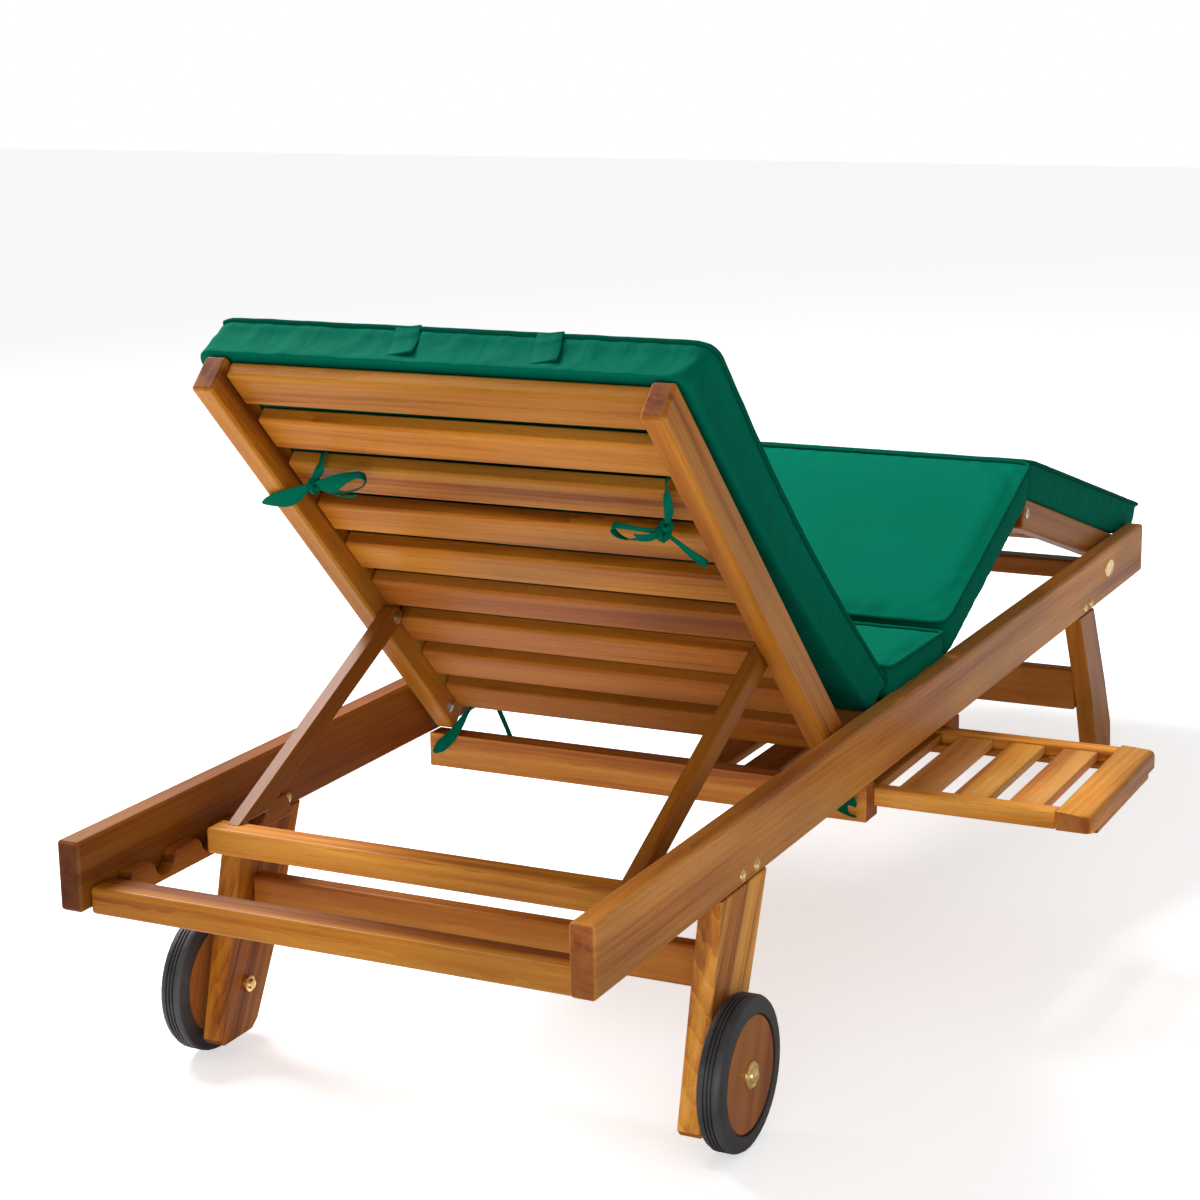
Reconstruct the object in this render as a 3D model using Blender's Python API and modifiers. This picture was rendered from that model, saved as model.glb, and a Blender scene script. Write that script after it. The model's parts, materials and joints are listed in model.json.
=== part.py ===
"""Reclining sun lounger: a slatted hardwood bed on two legs and two wheels.

+X runs from the head end to the foot end, +Y to the left side and +Z up, with the
ground at z = 0. The backrest is raised and propped, the knee is raised, and the
side tray is drawn out to the right.
"""

from math import asin, cos, pi, radians, sin

import bmesh
import bpy
from mathutils import Matrix, Vector

# ---- Driving dimensions, in metres ------------------------------------------------

GAP = 0.0003

# The bed's own frame has its zero at the head end, on the centreline, on the ground.
# These two move the origin to the centre of the whole outline, tray included.
ORIGIN_X = 1.02957
ORIGIN_Y = -0.11125

RAIL_LENGTH = 2.0
RAIL_BOTTOM = 0.268
RAIL_HEIGHT = 0.077
RAIL_THICK = 0.028
RAIL_OUTER_Y = 0.312
RAIL_INNER_Y = RAIL_OUTER_Y - RAIL_THICK
RAIL_TOP = RAIL_BOTTOM + RAIL_HEIGHT

EASED_EDGE = 0.003
SOFT_EDGE = 0.0015

CROSS_RAIL_WIDTH = 0.038
CROSS_RAIL_HEIGHT = 0.030
HEAD_CROSS_RAIL_X = 0.014
HEAD_CROSS_RAIL_Z = RAIL_BOTTOM - 0.005
FOOT_CROSS_RAIL_X = 1.938
FOOT_CROSS_RAIL_Z = RAIL_BOTTOM - 0.010

BOLT_RADIUS = 0.004
BORE_RADIUS = 0.0044
BOLT_HEAD_RADIUS = 0.008
BOLT_HEAD_HEIGHT = 0.0022
BOLT_BLIND_DEPTH = 0.014
ROUND_SEGMENTS = 20

# Backrest
BACK_PIVOT_X = 0.725
BACK_PIVOT_Z = RAIL_BOTTOM + 0.041
BACK_ANGLE = radians(45.5)
BACK_REACH = 0.684
BACK_TAIL = 0.034
STILE_DEPTH = 0.046
STILE_THICK = 0.028
STILE_OUTER_Y = 0.280
STILE_INNER_Y = STILE_OUTER_Y - STILE_THICK
BACK_STILE_BELOW = 0.0156
BACK_STILE_ABOVE = STILE_DEPTH - BACK_STILE_BELOW
SLAT_THICK = 0.020
BACK_SLAT_COUNT = 9
BACK_SLAT_WIDTH = 0.053
BACK_SLAT_PITCH = 0.0805
BACK_FIRST_SLAT = 0.676

# Prop that holds the backrest up
PROP_BOLT_REACH = 0.2178
PROP_BOLT_DROP = 0.004
PROP_BAR_X = 0.216
PROP_BAR_Z = RAIL_BOTTOM + 0.021
PROP_BAR_WIDTH = 0.034
PROP_BAR_HEIGHT = 0.030
PROP_BAR_HALF_LENGTH = 0.2652
PROP_ARM_DEPTH = 0.026
PROP_ARM_THICK = 0.018
PROP_ARM_OUTER_Y = STILE_INNER_Y - 0.0015

# Notched racks that the prop rests in
RACK_INNER_Y = 0.2660
RACK_TEETH = ((0.067, 0.101), (0.149, 0.187), (0.240, 0.278), (0.327, 0.365))
RACK_HEAD_X = 0.060
RACK_TOOTH_TOP = RAIL_BOTTOM + 0.027
RACK_NOTCH_FLOOR = RAIL_BOTTOM + 0.006
RACK_FLANK_LEAN = 0.006
NOTCH_ARC_STEPS = 6

# Knee: thigh panel and calf panel
PANEL_STILE_DEPTH = 0.044
PANEL_STILE_ABOVE = 0.020
PANEL_STILE_BELOW = PANEL_STILE_DEPTH - PANEL_STILE_ABOVE
THIGH_PIVOT_X = 1.092
THIGH_PIVOT_Z = RAIL_BOTTOM + 0.046
KNEE_X = 1.462
KNEE_Z = RAIL_BOTTOM + 0.193
CALF_REACH = 0.505
CALF_TAIL = 0.004
KNEE_END = 0.016
THIGH_STILE_OUTER_Y = STILE_INNER_Y - 0.0012
THIGH_STILE_INNER_Y = THIGH_STILE_OUTER_Y - 0.026
PANEL_SLAT_WIDTH = 0.060

# Seat
SEAT_TOP = RAIL_BOTTOM + 0.066
SEAT_SLAT_X = (0.820, 0.985)
SEAT_SLAT_WIDTH = 0.070

# Cushions
CUSHION_THICK = 0.052
CUSHION_HALF_WIDTH = 0.2825
CUSHION_LIFT = 0.001
CUSHION_EDGE = 0.010
SEAT_CUSHION_START = 0.872
SEAT_CUSHION_END = 1.070
BACK_CUSHION_HEAD = 0.690
BACK_CUSHION_LENGTH = 0.655
BACK_CUSHION_LEAN = radians(4.1)
THIGH_CUSHION_START = 0.012
THIGH_CUSHION_END = 0.378
CALF_CUSHION_START = 0.021
CALF_CUSHION_END = 0.605

# Legs, each as a side outline of (x, height), and stretchers
LEG_THICK = 0.027
HEAD_LEG_OUTLINE = (
    (0.300, RAIL_BOTTOM - GAP),
    (0.422, RAIL_BOTTOM - GAP),
    (0.362, 0.124),
    (0.312, 0.034),
    (0.300, 0.025),
    (0.244, 0.025),
    (0.238, 0.032),
)
FOOT_LEG_OUTLINE = (
    (1.643, RAIL_BOTTOM - GAP),
    (1.720, RAIL_BOTTOM - GAP),
    (1.797, 0.135),
    (1.836, 0.058),
    (1.843, 0.000),
    (1.768, 0.000),
    (1.755, 0.036),
    (1.722, 0.121),
)
STRETCHER_THICK = 0.024
HEAD_STRETCHER_X = 0.312
HEAD_STRETCHER_Z = RAIL_BOTTOM - 0.106
HEAD_STRETCHER_HEIGHT = 0.047
FOOT_STRETCHER_X = 1.722
FOOT_STRETCHER_Z = RAIL_BOTTOM - 0.166
FOOT_STRETCHER_HEIGHT = 0.064

# Wheels
WHEEL_X = 0.292
TYRE_RADIUS = 0.0845
WHEEL_Z = TYRE_RADIUS
DISC_RADIUS = 0.065
WHEEL_INNER_Y = 0.3190
WHEEL_OUTER_Y = 0.3480
AXLE_RADIUS = 0.005
AXLE_BORE_RADIUS = 0.0054
TYRE_STEPS = 40
GROOVE_WIDTH = 0.0026
GROOVE_DEPTH = 0.0020

# Side tray, drawn out to the right
TRAY_HEAD_X = 0.7600
TRAY_FOOT_X = 1.0500
TRAY_BATTEN_WIDTH = 0.024
TRAY_TOP = RAIL_BOTTOM - 0.010
TRAY_BATTEN_HEIGHT = 0.022
TRAY_OUTER_Y = -0.578
TRAY_INNER_Y = -0.040
TRAY_END_BOARD_WIDTH = 0.044
TRAY_SLAT_WIDTH = 0.045
TRAY_SLAT_PITCH = 0.0685
TRAY_SLAT_THICK = 0.012
TRAY_SLAT_DROP = 0.003
TRAY_FIRST_SLAT_Y = -0.489
TRAY_SLAT_COUNT = 3
RUNNER_WIDTH = 0.028
RUNNER_HEIGHT = 0.044
RUNNER_TOP = RAIL_BOTTOM - GAP
RUNNER_LEDGE = 0.010
RUNNER_LEDGE_HEIGHT = 0.010
RUNNER_NEAR_Y = -0.311
RUNNER_FAR_Y = 0.2875

# ---- Derived angles and lengths ----------------------------------------------------

KNEE_REACH = (Vector((KNEE_X, KNEE_Z)) - Vector((THIGH_PIVOT_X, THIGH_PIVOT_Z))).length
THIGH_ANGLE = asin((KNEE_Z - THIGH_PIVOT_Z) / KNEE_REACH)
CALF_ANGLE = asin((KNEE_Z - THIGH_PIVOT_Z) / CALF_REACH)
PROP_BOLT_X = BACK_PIVOT_X - PROP_BOLT_REACH * cos(BACK_ANGLE) - PROP_BOLT_DROP * sin(BACK_ANGLE)
PROP_BOLT_Z = BACK_PIVOT_Z + PROP_BOLT_REACH * sin(BACK_ANGLE) - PROP_BOLT_DROP * cos(BACK_ANGLE)

# ---- Colours ------------------------------------------------------------------------

WOOD = (0.42, 0.17, 0.055)
DARK_WOOD = (0.25, 0.085, 0.028)
GREEN = (0.0, 0.195, 0.112)
RUBBER = (0.045, 0.043, 0.046)
BRASS = (0.72, 0.47, 0.13)
STEEL = (0.55, 0.54, 0.52)


# ---- Helpers --------------------------------------------------------------------------


def clear_scene():
    for obj in list(bpy.data.objects):
        bpy.data.objects.remove(obj, do_unlink=True)


def new_collection(name):
    collection = bpy.data.collections.new(name)
    bpy.context.scene.collection.children.link(collection)
    return collection


def material(obj, colour, roughness=0.6, metallic=0.0):
    """Gives the object a material of its own."""
    made = bpy.data.materials.new(obj.name)
    made.use_nodes = True
    shader = made.node_tree.nodes["Principled BSDF"]
    shader.inputs["Base Color"].default_value = (*colour, 1.0)
    shader.inputs["Roughness"].default_value = roughness
    shader.inputs["Metallic"].default_value = metallic
    obj.data.materials.clear()
    obj.data.materials.append(made)
    return obj


def move_to(obj, collection):
    for owner in list(obj.users_collection):
        owner.objects.unlink(obj)
    collection.objects.link(obj)


def link(obj, axis_empty):
    move_to(obj, PARTS)
    obj.parent = axis_empty
    return obj


def axis_empty(name, location, turn=0.0, parent=None):
    """An empty on a joint's axis, turned about Y. A child's location counts from its parent."""
    empty = bpy.data.objects.new(name, None)
    PARTS.objects.link(empty)
    empty.location = location
    empty.rotation_euler = (0.0, turn, 0.0)
    empty.parent = parent
    return empty


def bevel(obj, width, segments=1):
    modifier = obj.modifiers.new("edges", "BEVEL")
    modifier.width = width
    modifier.segments = segments
    modifier.limit_method = "ANGLE"
    modifier.angle_limit = radians(30)
    return obj


def box(name, low, high, parent, edge=EASED_EDGE, segments=1):
    """A bar between two corners, in its parent's axes, with eased edges."""
    low, high = Vector(low), Vector(high)
    bpy.ops.mesh.primitive_cube_add(size=1.0)
    obj = bpy.context.object
    obj.name = name
    obj.data.name = name
    obj.data.transform(Matrix.Diagonal((*(high - low), 1.0)))
    obj.location = (low + high) / 2
    link(obj, parent)
    return bevel(obj, edge, segments)


def outline_board(name, points, low_y, high_y, parent, edge=SOFT_EDGE):
    """A board cut to a side outline of (x, z) points, between two y values."""
    curve = bpy.data.curves.new(name + "_outline", "CURVE")
    curve.dimensions = "2D"
    curve.fill_mode = "BOTH"
    curve.extrude = (high_y - low_y) / 2 - edge
    curve.bevel_depth = edge
    curve.bevel_resolution = 0
    curve.offset = -edge
    spline = curve.splines.new("POLY")
    spline.points.add(len(points) - 1)
    for point, (x, z) in zip(spline.points, points):
        point.co = (x, z, 0.0, 1.0)
    spline.use_cyclic_u = True
    source = bpy.data.objects.new(name + "_outline", curve)
    PARTS.objects.link(source)
    obj = mesh_from_curve(source, name)
    obj.rotation_euler = (pi / 2, 0.0, 0.0)
    obj.location = (0.0, (low_y + high_y) / 2, 0.0)
    obj.parent = parent
    return obj


def mesh_from_curve(source, name):
    """Turns a filled curve into a mesh object with its caps joined on."""
    graph = bpy.context.evaluated_depsgraph_get()
    mesh = bpy.data.meshes.new_from_object(source.evaluated_get(graph))
    mesh.name = name
    shape = bmesh.new()
    shape.from_mesh(mesh)
    bmesh.ops.remove_doubles(shape, verts=shape.verts, dist=1e-6)
    bmesh.ops.recalc_face_normals(shape, faces=shape.faces)
    shape.to_mesh(mesh)
    shape.free()
    bpy.data.objects.remove(source, do_unlink=True)
    obj = bpy.data.objects.new(name, mesh)
    PARTS.objects.link(obj)
    return obj


def cylinder_cutter(name, x, z, low_y, high_y, radius, parent):
    """A round cutter along Y, kept out of the render."""
    bpy.ops.mesh.primitive_cylinder_add(
        vertices=ROUND_SEGMENTS, radius=radius, depth=high_y - low_y
    )
    cutter = bpy.context.object
    cutter.name = name
    cutter.rotation_euler = (pi / 2, 0.0, 0.0)
    cutter.location = (x, (low_y + high_y) / 2, z)
    cutter.parent = parent
    cutter.hide_render = True
    cutter.display_type = "WIRE"
    move_to(cutter, CUTTERS)
    return cutter


def drill(obj, x, z, low_y, high_y, radius, parent):
    cutter = cylinder_cutter(obj.name + "_bore", x, z, low_y, high_y, radius, parent)
    cut = obj.modifiers.new("bore", "BOOLEAN")
    cut.operation = "DIFFERENCE"
    cut.object = cutter


def turned(name, profile, x, z, y, side, parent, steps=ROUND_SEGMENTS):
    """A turned piece about an axis along Y.

    The profile holds (radius, distance) points down its outer side. Distance counts
    outwards from y on the side given, +1 for the left and -1 for the right.
    """
    mesh = bpy.data.meshes.new(name)
    points = [(radius, 0.0, along) for radius, along in profile]
    mesh.from_pydata(points, [(i, i + 1) for i in range(len(points) - 1)], [])
    obj = bpy.data.objects.new(name, mesh)
    screw = obj.modifiers.new("turn", "SCREW")
    screw.axis = "Z"
    screw.steps = steps
    screw.render_steps = steps
    screw.use_merge_vertices = True
    screw.merge_threshold = 0.00001
    screw.use_smooth_shade = True
    obj.rotation_euler = (-side * pi / 2, 0.0, 0.0)
    obj.location = (x, y, z)
    link(obj, parent)
    return obj


def bolt(name, x, z, head_y, side, length, parent):
    """A bolt along Y with a low domed head at head_y, its shank running towards side."""
    profile = (
        (0.0, BOLT_HEAD_HEIGHT),
        (0.6 * BOLT_HEAD_RADIUS, 0.85 * BOLT_HEAD_HEIGHT),
        (BOLT_HEAD_RADIUS, 0.3 * BOLT_HEAD_HEIGHT),
        (BOLT_HEAD_RADIUS, 0.0),
        (BOLT_RADIUS, 0.0),
        (BOLT_RADIUS, -length),
        (0.0, -length),
    )
    obj = turned(name, profile, x, z, head_y, -side, parent)
    return material(obj, STEEL, 0.35, 1.0)


def sides():
    return (("left", 1.0), ("right", -1.0))


def span(side, inner, outer):
    """The low and high y of a piece that lies between two distances from the centreline."""
    return (inner, outer) if side > 0 else (-outer, -inner)


# ---- Fixed frame ------------------------------------------------------------------------


def side_rails(bed):
    for label, side in sides():
        low_y, high_y = span(side, RAIL_INNER_Y, RAIL_OUTER_Y)
        rail = box(
            f"side_rail_{label}",
            (0.0, low_y, RAIL_BOTTOM),
            (RAIL_LENGTH, high_y, RAIL_TOP),
            bed,
        )
        hole = span(side, RAIL_INNER_Y - 0.001, RAIL_INNER_Y + BOLT_BLIND_DEPTH)
        drill(rail, BACK_PIVOT_X, BACK_PIVOT_Z, *hole, BORE_RADIUS, bed)
        material(rail, WOOD)


def cross_pieces(bed):
    half = RAIL_INNER_Y - GAP
    leg_half = RAIL_OUTER_Y - LEG_THICK - GAP
    pieces = (
        (
            "head_cross_rail",
            HEAD_CROSS_RAIL_X,
            HEAD_CROSS_RAIL_Z,
            CROSS_RAIL_WIDTH,
            CROSS_RAIL_HEIGHT,
            half,
        ),
        (
            "foot_cross_rail",
            FOOT_CROSS_RAIL_X,
            FOOT_CROSS_RAIL_Z,
            CROSS_RAIL_WIDTH,
            CROSS_RAIL_HEIGHT,
            half,
        ),
        (
            "head_leg_stretcher",
            HEAD_STRETCHER_X,
            HEAD_STRETCHER_Z,
            STRETCHER_THICK,
            HEAD_STRETCHER_HEIGHT,
            leg_half,
        ),
        (
            "foot_leg_stretcher",
            FOOT_STRETCHER_X,
            FOOT_STRETCHER_Z,
            STRETCHER_THICK,
            FOOT_STRETCHER_HEIGHT,
            leg_half,
        ),
    )
    for name, x, z, width, height, reach in pieces:
        material(box(name, (x, -reach, z), (x + width, reach, z + height), bed), WOOD)
    for index, x in enumerate(SEAT_SLAT_X, 1):
        slat = box(
            f"seat_slat_{index}",
            (x, -half, SEAT_TOP - SLAT_THICK),
            (x + SEAT_SLAT_WIDTH, half, SEAT_TOP),
            bed,
        )
        material(slat, WOOD)


def notch_outline():
    """The rack's side outline: flat-topped teeth with rounded notches between them."""
    points = [(RACK_HEAD_X, RAIL_BOTTOM), (RACK_HEAD_X, RACK_NOTCH_FLOOR + 0.008)]
    for index, (start, end) in enumerate(RACK_TEETH):
        points += [(start, RACK_TOOTH_TOP), (end, RACK_TOOTH_TOP)]
        if index + 1 == len(RACK_TEETH):
            continue
        left = end + RACK_FLANK_LEAN
        right = RACK_TEETH[index + 1][0] - RACK_FLANK_LEAN
        middle, half = (left + right) / 2, (right - left) / 2
        rise = RACK_TOOTH_TOP - RACK_NOTCH_FLOOR - 0.006
        for step in range(NOTCH_ARC_STEPS + 1):
            turn = pi * step / NOTCH_ARC_STEPS
            points.append((middle - half * cos(turn), RACK_NOTCH_FLOOR + rise * (1 - sin(turn))))
    points.append((RACK_TEETH[-1][1] + 0.012, RAIL_BOTTOM))
    return points[::-1]


def racks(bed):
    for label, side in sides():
        low_y, high_y = span(side, RACK_INNER_Y, RAIL_INNER_Y - GAP)
        rack = outline_board(f"prop_rack_{label}", notch_outline(), low_y, high_y, bed, 0.001)
        material(rack, DARK_WOOD)


def legs(bed):
    for label, side in sides():
        low_y, high_y = span(side, RAIL_OUTER_Y - LEG_THICK, RAIL_OUTER_Y)
        leg = outline_board(f"head_leg_{label}", HEAD_LEG_OUTLINE, low_y, high_y, bed)
        drill(leg, WHEEL_X, WHEEL_Z, low_y - 0.001, high_y + 0.001, AXLE_BORE_RADIUS, bed)
        material(leg, WOOD)
        leg = outline_board(f"foot_leg_{label}", FOOT_LEG_OUTLINE, low_y, high_y, bed)
        material(leg, WOOD)


def wheel_axles(bed):
    """Each axle bolt runs from a nut inside the leg to a domed cap outside the wheel."""
    inside = RAIL_OUTER_Y - LEG_THICK
    for label, side in sides():
        profile = (
            (0.0, WHEEL_OUTER_Y + 0.0075 - inside),
            (0.006, WHEEL_OUTER_Y + 0.0066 - inside),
            (0.011, WHEEL_OUTER_Y + 0.0040 - inside),
            (0.0135, WHEEL_OUTER_Y + GAP - inside),
            (AXLE_RADIUS, WHEEL_OUTER_Y + GAP - inside),
            (AXLE_RADIUS, -GAP),
            (0.010, -GAP),
            (0.010, -0.006),
            (AXLE_RADIUS, -0.0065),
            (AXLE_RADIUS, -0.010),
            (0.0, -0.010),
        )
        axle = turned(f"wheel_axle_{label}", profile, WHEEL_X, WHEEL_Z, side * inside, side, bed)
        material(axle, BRASS, 0.25, 1.0)


def tray_runners(bed):
    """Two bearers across the bed. A ledge on each carries a batten of the tray."""
    for name, back, front in (
        ("tray_runner_head", TRAY_HEAD_X - GAP - RUNNER_WIDTH, TRAY_HEAD_X - GAP),
        ("tray_runner_foot", TRAY_FOOT_X + GAP + RUNNER_WIDTH, TRAY_FOOT_X + GAP),
    ):
        inwards = 1.0 if front > back else -1.0
        ledge = front + inwards * RUNNER_LEDGE
        bottom = RUNNER_TOP - RUNNER_HEIGHT
        ledge_top = TRAY_TOP - TRAY_BATTEN_HEIGHT - GAP
        points = [
            (back, bottom),
            (ledge, bottom),
            (ledge, ledge_top),
            (front, ledge_top),
            (front, RUNNER_TOP),
            (back, RUNNER_TOP),
        ]
        runner = outline_board(name, points, RUNNER_NEAR_Y, RUNNER_FAR_Y, bed, 0.001)
        material(runner, WOOD)


def cushion(name, low_x, high_x, low_z, parent):
    pad = box(
        name,
        (low_x, -CUSHION_HALF_WIDTH, low_z),
        (high_x, CUSHION_HALF_WIDTH, low_z + CUSHION_THICK),
        parent,
        CUSHION_EDGE,
        2,
    )
    return material(pad, GREEN, 0.9)


# ---- Backrest and prop --------------------------------------------------------------------


def backrest(axis, bed):
    """In the backrest's axes x runs down the stiles, so the head end is at negative x."""
    for label, side in sides():
        low_y, high_y = span(side, STILE_INNER_Y, STILE_OUTER_Y)
        stile = box(
            f"back_stile_{label}",
            (-BACK_REACH, low_y, -BACK_STILE_BELOW),
            (BACK_TAIL, high_y, BACK_STILE_ABOVE),
            axis,
        )
        drill(stile, 0.0, 0.0, low_y - 0.001, high_y + 0.001, BORE_RADIUS, axis)
        prop_hole = span(side, STILE_INNER_Y - 0.001, STILE_INNER_Y + BOLT_BLIND_DEPTH)
        drill(stile, -PROP_BOLT_REACH, -PROP_BOLT_DROP, *prop_hole, BORE_RADIUS, axis)
        material(stile, WOOD)
        bolt(
            f"back_pivot_bolt_{label}",
            BACK_PIVOT_X,
            BACK_PIVOT_Z,
            side * (STILE_INNER_Y - GAP),
            side,
            RAIL_INNER_Y - STILE_INNER_Y + BOLT_BLIND_DEPTH - 0.002,
            bed,
        )
        bolt(
            f"prop_bolt_{label}",
            -PROP_BOLT_REACH,
            -PROP_BOLT_DROP,
            side * (PROP_ARM_OUTER_Y - PROP_ARM_THICK - GAP),
            side,
            STILE_INNER_Y - PROP_ARM_OUTER_Y + PROP_ARM_THICK + BOLT_BLIND_DEPTH - 0.002,
            axis,
        )
    reach = STILE_INNER_Y - GAP
    for index in range(BACK_SLAT_COUNT):
        head = -BACK_FIRST_SLAT + index * BACK_SLAT_PITCH
        slat = box(
            f"back_slat_{index + 1}",
            (head, -reach, BACK_STILE_ABOVE - SLAT_THICK),
            (head + BACK_SLAT_WIDTH, reach, BACK_STILE_ABOVE),
            axis,
        )
        material(slat, WOOD)
    lean = axis_empty(
        "back_cushion_lean",
        (-BACK_CUSHION_HEAD, 0.0, BACK_STILE_ABOVE + CUSHION_LIFT),
        -BACK_CUSHION_LEAN,
        axis,
    )
    cushion("back_cushion", 0.0, BACK_CUSHION_LENGTH, 0.0, lean)


def arm_outline(bar, drop):
    """A prop arm from its round bolted end at (0, 0) to a level cut on top of the crossbar."""
    half = PROP_ARM_DEPTH / 2
    along = bar.normalized()
    across = Vector((along.y, -along.x))
    end_z = bar.y + drop
    points = []
    for step in range(NOTCH_ARC_STEPS * 2 + 1):
        turn = pi * step / (NOTCH_ARC_STEPS * 2)
        points.append(across * half * cos(turn) - along * half * sin(turn))
    for side_sign in (-1.0, 1.0):
        start = across * half * side_sign
        points.append(start + along * ((end_z - start.y) / along.y))
    return [(point.x, point.y) for point in points]


def prop(axis):
    """The prop hangs from two bolts in the backrest's stiles, square to the ground."""
    bar = Vector((PROP_BAR_X - PROP_BOLT_X, PROP_BAR_Z - PROP_BOLT_Z))
    half_height = PROP_BAR_HEIGHT / 2
    outline = arm_outline(bar, half_height + GAP)
    for label, side in sides():
        low_y, high_y = span(side, PROP_ARM_OUTER_Y - PROP_ARM_THICK, PROP_ARM_OUTER_Y)
        arm = outline_board(f"prop_arm_{label}", outline, low_y, high_y, axis)
        drill(arm, 0.0, 0.0, low_y - 0.001, high_y + 0.001, BORE_RADIUS, axis)
        material(arm, WOOD)
    crossbar = box(
        "prop_crossbar",
        (bar.x - PROP_BAR_WIDTH / 2, -PROP_BAR_HALF_LENGTH, bar.y - half_height),
        (bar.x + PROP_BAR_WIDTH / 2, PROP_BAR_HALF_LENGTH, bar.y + half_height),
        axis,
    )
    material(crossbar, WOOD)


# ---- Knee panels ------------------------------------------------------------------------------


def panel(name, axis, start, end, inner_y, outer_y, slat_starts):
    """Two stiles and the slats between them. The top of the slats is the panel's top."""
    stiles = {}
    for label, side in sides():
        low_y, high_y = span(side, inner_y, outer_y)
        stile = box(
            f"{name}_stile_{label}",
            (start, low_y, -PANEL_STILE_BELOW),
            (end, high_y, PANEL_STILE_ABOVE),
            axis,
        )
        stiles[side] = material(stile, WOOD)
    reach = inner_y - GAP
    for index, slat_start in enumerate(slat_starts, 1):
        slat = box(
            f"{name}_slat_{index}",
            (slat_start, -reach, PANEL_STILE_ABOVE - SLAT_THICK),
            (slat_start + PANEL_SLAT_WIDTH, reach, PANEL_STILE_ABOVE),
            axis,
        )
        material(slat, WOOD)
    return stiles


def thigh_panel(axis):
    stiles = panel(
        "thigh",
        axis,
        -KNEE_END,
        KNEE_REACH + KNEE_END,
        THIGH_STILE_INNER_Y,
        THIGH_STILE_OUTER_Y,
        (0.06, 0.27),
    )
    for side, stile in stiles.items():
        hole = span(side, THIGH_STILE_OUTER_Y - BOLT_BLIND_DEPTH, THIGH_STILE_OUTER_Y + 0.001)
        drill(stile, KNEE_REACH, 0.0, *hole, BORE_RADIUS, axis)
    for label, side in sides():
        bolt(
            f"knee_bolt_{label}",
            KNEE_REACH,
            0.0,
            side * (STILE_OUTER_Y + GAP),
            -side,
            STILE_OUTER_Y - THIGH_STILE_OUTER_Y + BOLT_BLIND_DEPTH - 0.002,
            axis,
        )
    cushion(
        "thigh_cushion",
        THIGH_CUSHION_START,
        THIGH_CUSHION_END,
        PANEL_STILE_ABOVE + CUSHION_LIFT,
        axis,
    )


def calf_panel(axis):
    stiles = panel(
        "calf",
        axis,
        -KNEE_END,
        CALF_REACH + CALF_TAIL,
        STILE_INNER_Y,
        STILE_OUTER_Y,
        (0.05, 0.40),
    )
    for stile in stiles.values():
        drill(stile, 0.0, 0.0, *stile_span(stile), BORE_RADIUS, axis)
    cushion(
        "calf_cushion",
        CALF_CUSHION_START,
        CALF_CUSHION_END,
        PANEL_STILE_ABOVE + CUSHION_LIFT,
        axis,
    )


def stile_span(stile):
    """The y range of a hole right through a stile."""
    half = STILE_THICK / 2 + 0.001
    return stile.location.y - half, stile.location.y + half


# ---- Tray ----------------------------------------------------------------------------------------


def tray(axis):
    """A slatted tray on two battens, with a wide board across its outer end."""
    top = TRAY_TOP
    bottom = top - TRAY_BATTEN_HEIGHT
    inner_edge = TRAY_OUTER_Y + TRAY_END_BOARD_WIDTH
    for name, low_x in (
        ("tray_batten_head", TRAY_HEAD_X),
        ("tray_batten_foot", TRAY_FOOT_X - TRAY_BATTEN_WIDTH),
    ):
        batten = box(
            name,
            (low_x, inner_edge + GAP, bottom),
            (low_x + TRAY_BATTEN_WIDTH, TRAY_INNER_Y, top),
            axis,
            0.002,
        )
        material(batten, WOOD)
    end_board = box(
        "tray_end_board",
        (TRAY_HEAD_X - 0.002, TRAY_OUTER_Y, bottom),
        (TRAY_FOOT_X + 0.002, inner_edge, top + 0.001),
        axis,
        0.004,
    )
    material(end_board, WOOD)
    low_x = TRAY_HEAD_X + TRAY_BATTEN_WIDTH + GAP
    high_x = TRAY_FOOT_X - TRAY_BATTEN_WIDTH - GAP
    slat_top = top - TRAY_SLAT_DROP
    for index in range(TRAY_SLAT_COUNT):
        middle = TRAY_FIRST_SLAT_Y + index * TRAY_SLAT_PITCH
        slat = box(
            f"tray_slat_{index + 1}",
            (low_x, middle - TRAY_SLAT_WIDTH / 2, slat_top - TRAY_SLAT_THICK),
            (high_x, middle + TRAY_SLAT_WIDTH / 2, slat_top),
            axis,
            0.002,
        )
        material(slat, WOOD)


# ---- Wheels ----------------------------------------------------------------------------------------


def tyre_profile(width):
    """Across the tread from the outer face to the inner one, with three grooves round it."""
    shoulder = 0.006
    points = [(DISC_RADIUS + GAP, width), (TYRE_RADIUS - shoulder, width)]
    points.append((TYRE_RADIUS - 0.35 * shoulder, width - 0.35 * shoulder))
    points.append((TYRE_RADIUS, width - shoulder))
    pitch = (width - 2 * shoulder) / 4
    for groove in (3, 2, 1):
        middle = shoulder + groove * pitch
        half = GROOVE_WIDTH / 2
        points += [
            (TYRE_RADIUS, middle + half),
            (TYRE_RADIUS - GROOVE_DEPTH, middle + half / 2),
            (TYRE_RADIUS - GROOVE_DEPTH, middle - half / 2),
            (TYRE_RADIUS, middle - half),
        ]
    points.append((TYRE_RADIUS, shoulder))
    points.append((TYRE_RADIUS - 0.35 * shoulder, 0.35 * shoulder))
    points.append((TYRE_RADIUS - shoulder, 0.0))
    points.append((DISC_RADIUS + GAP, 0.0))
    points.append(points[0])
    return points


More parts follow.
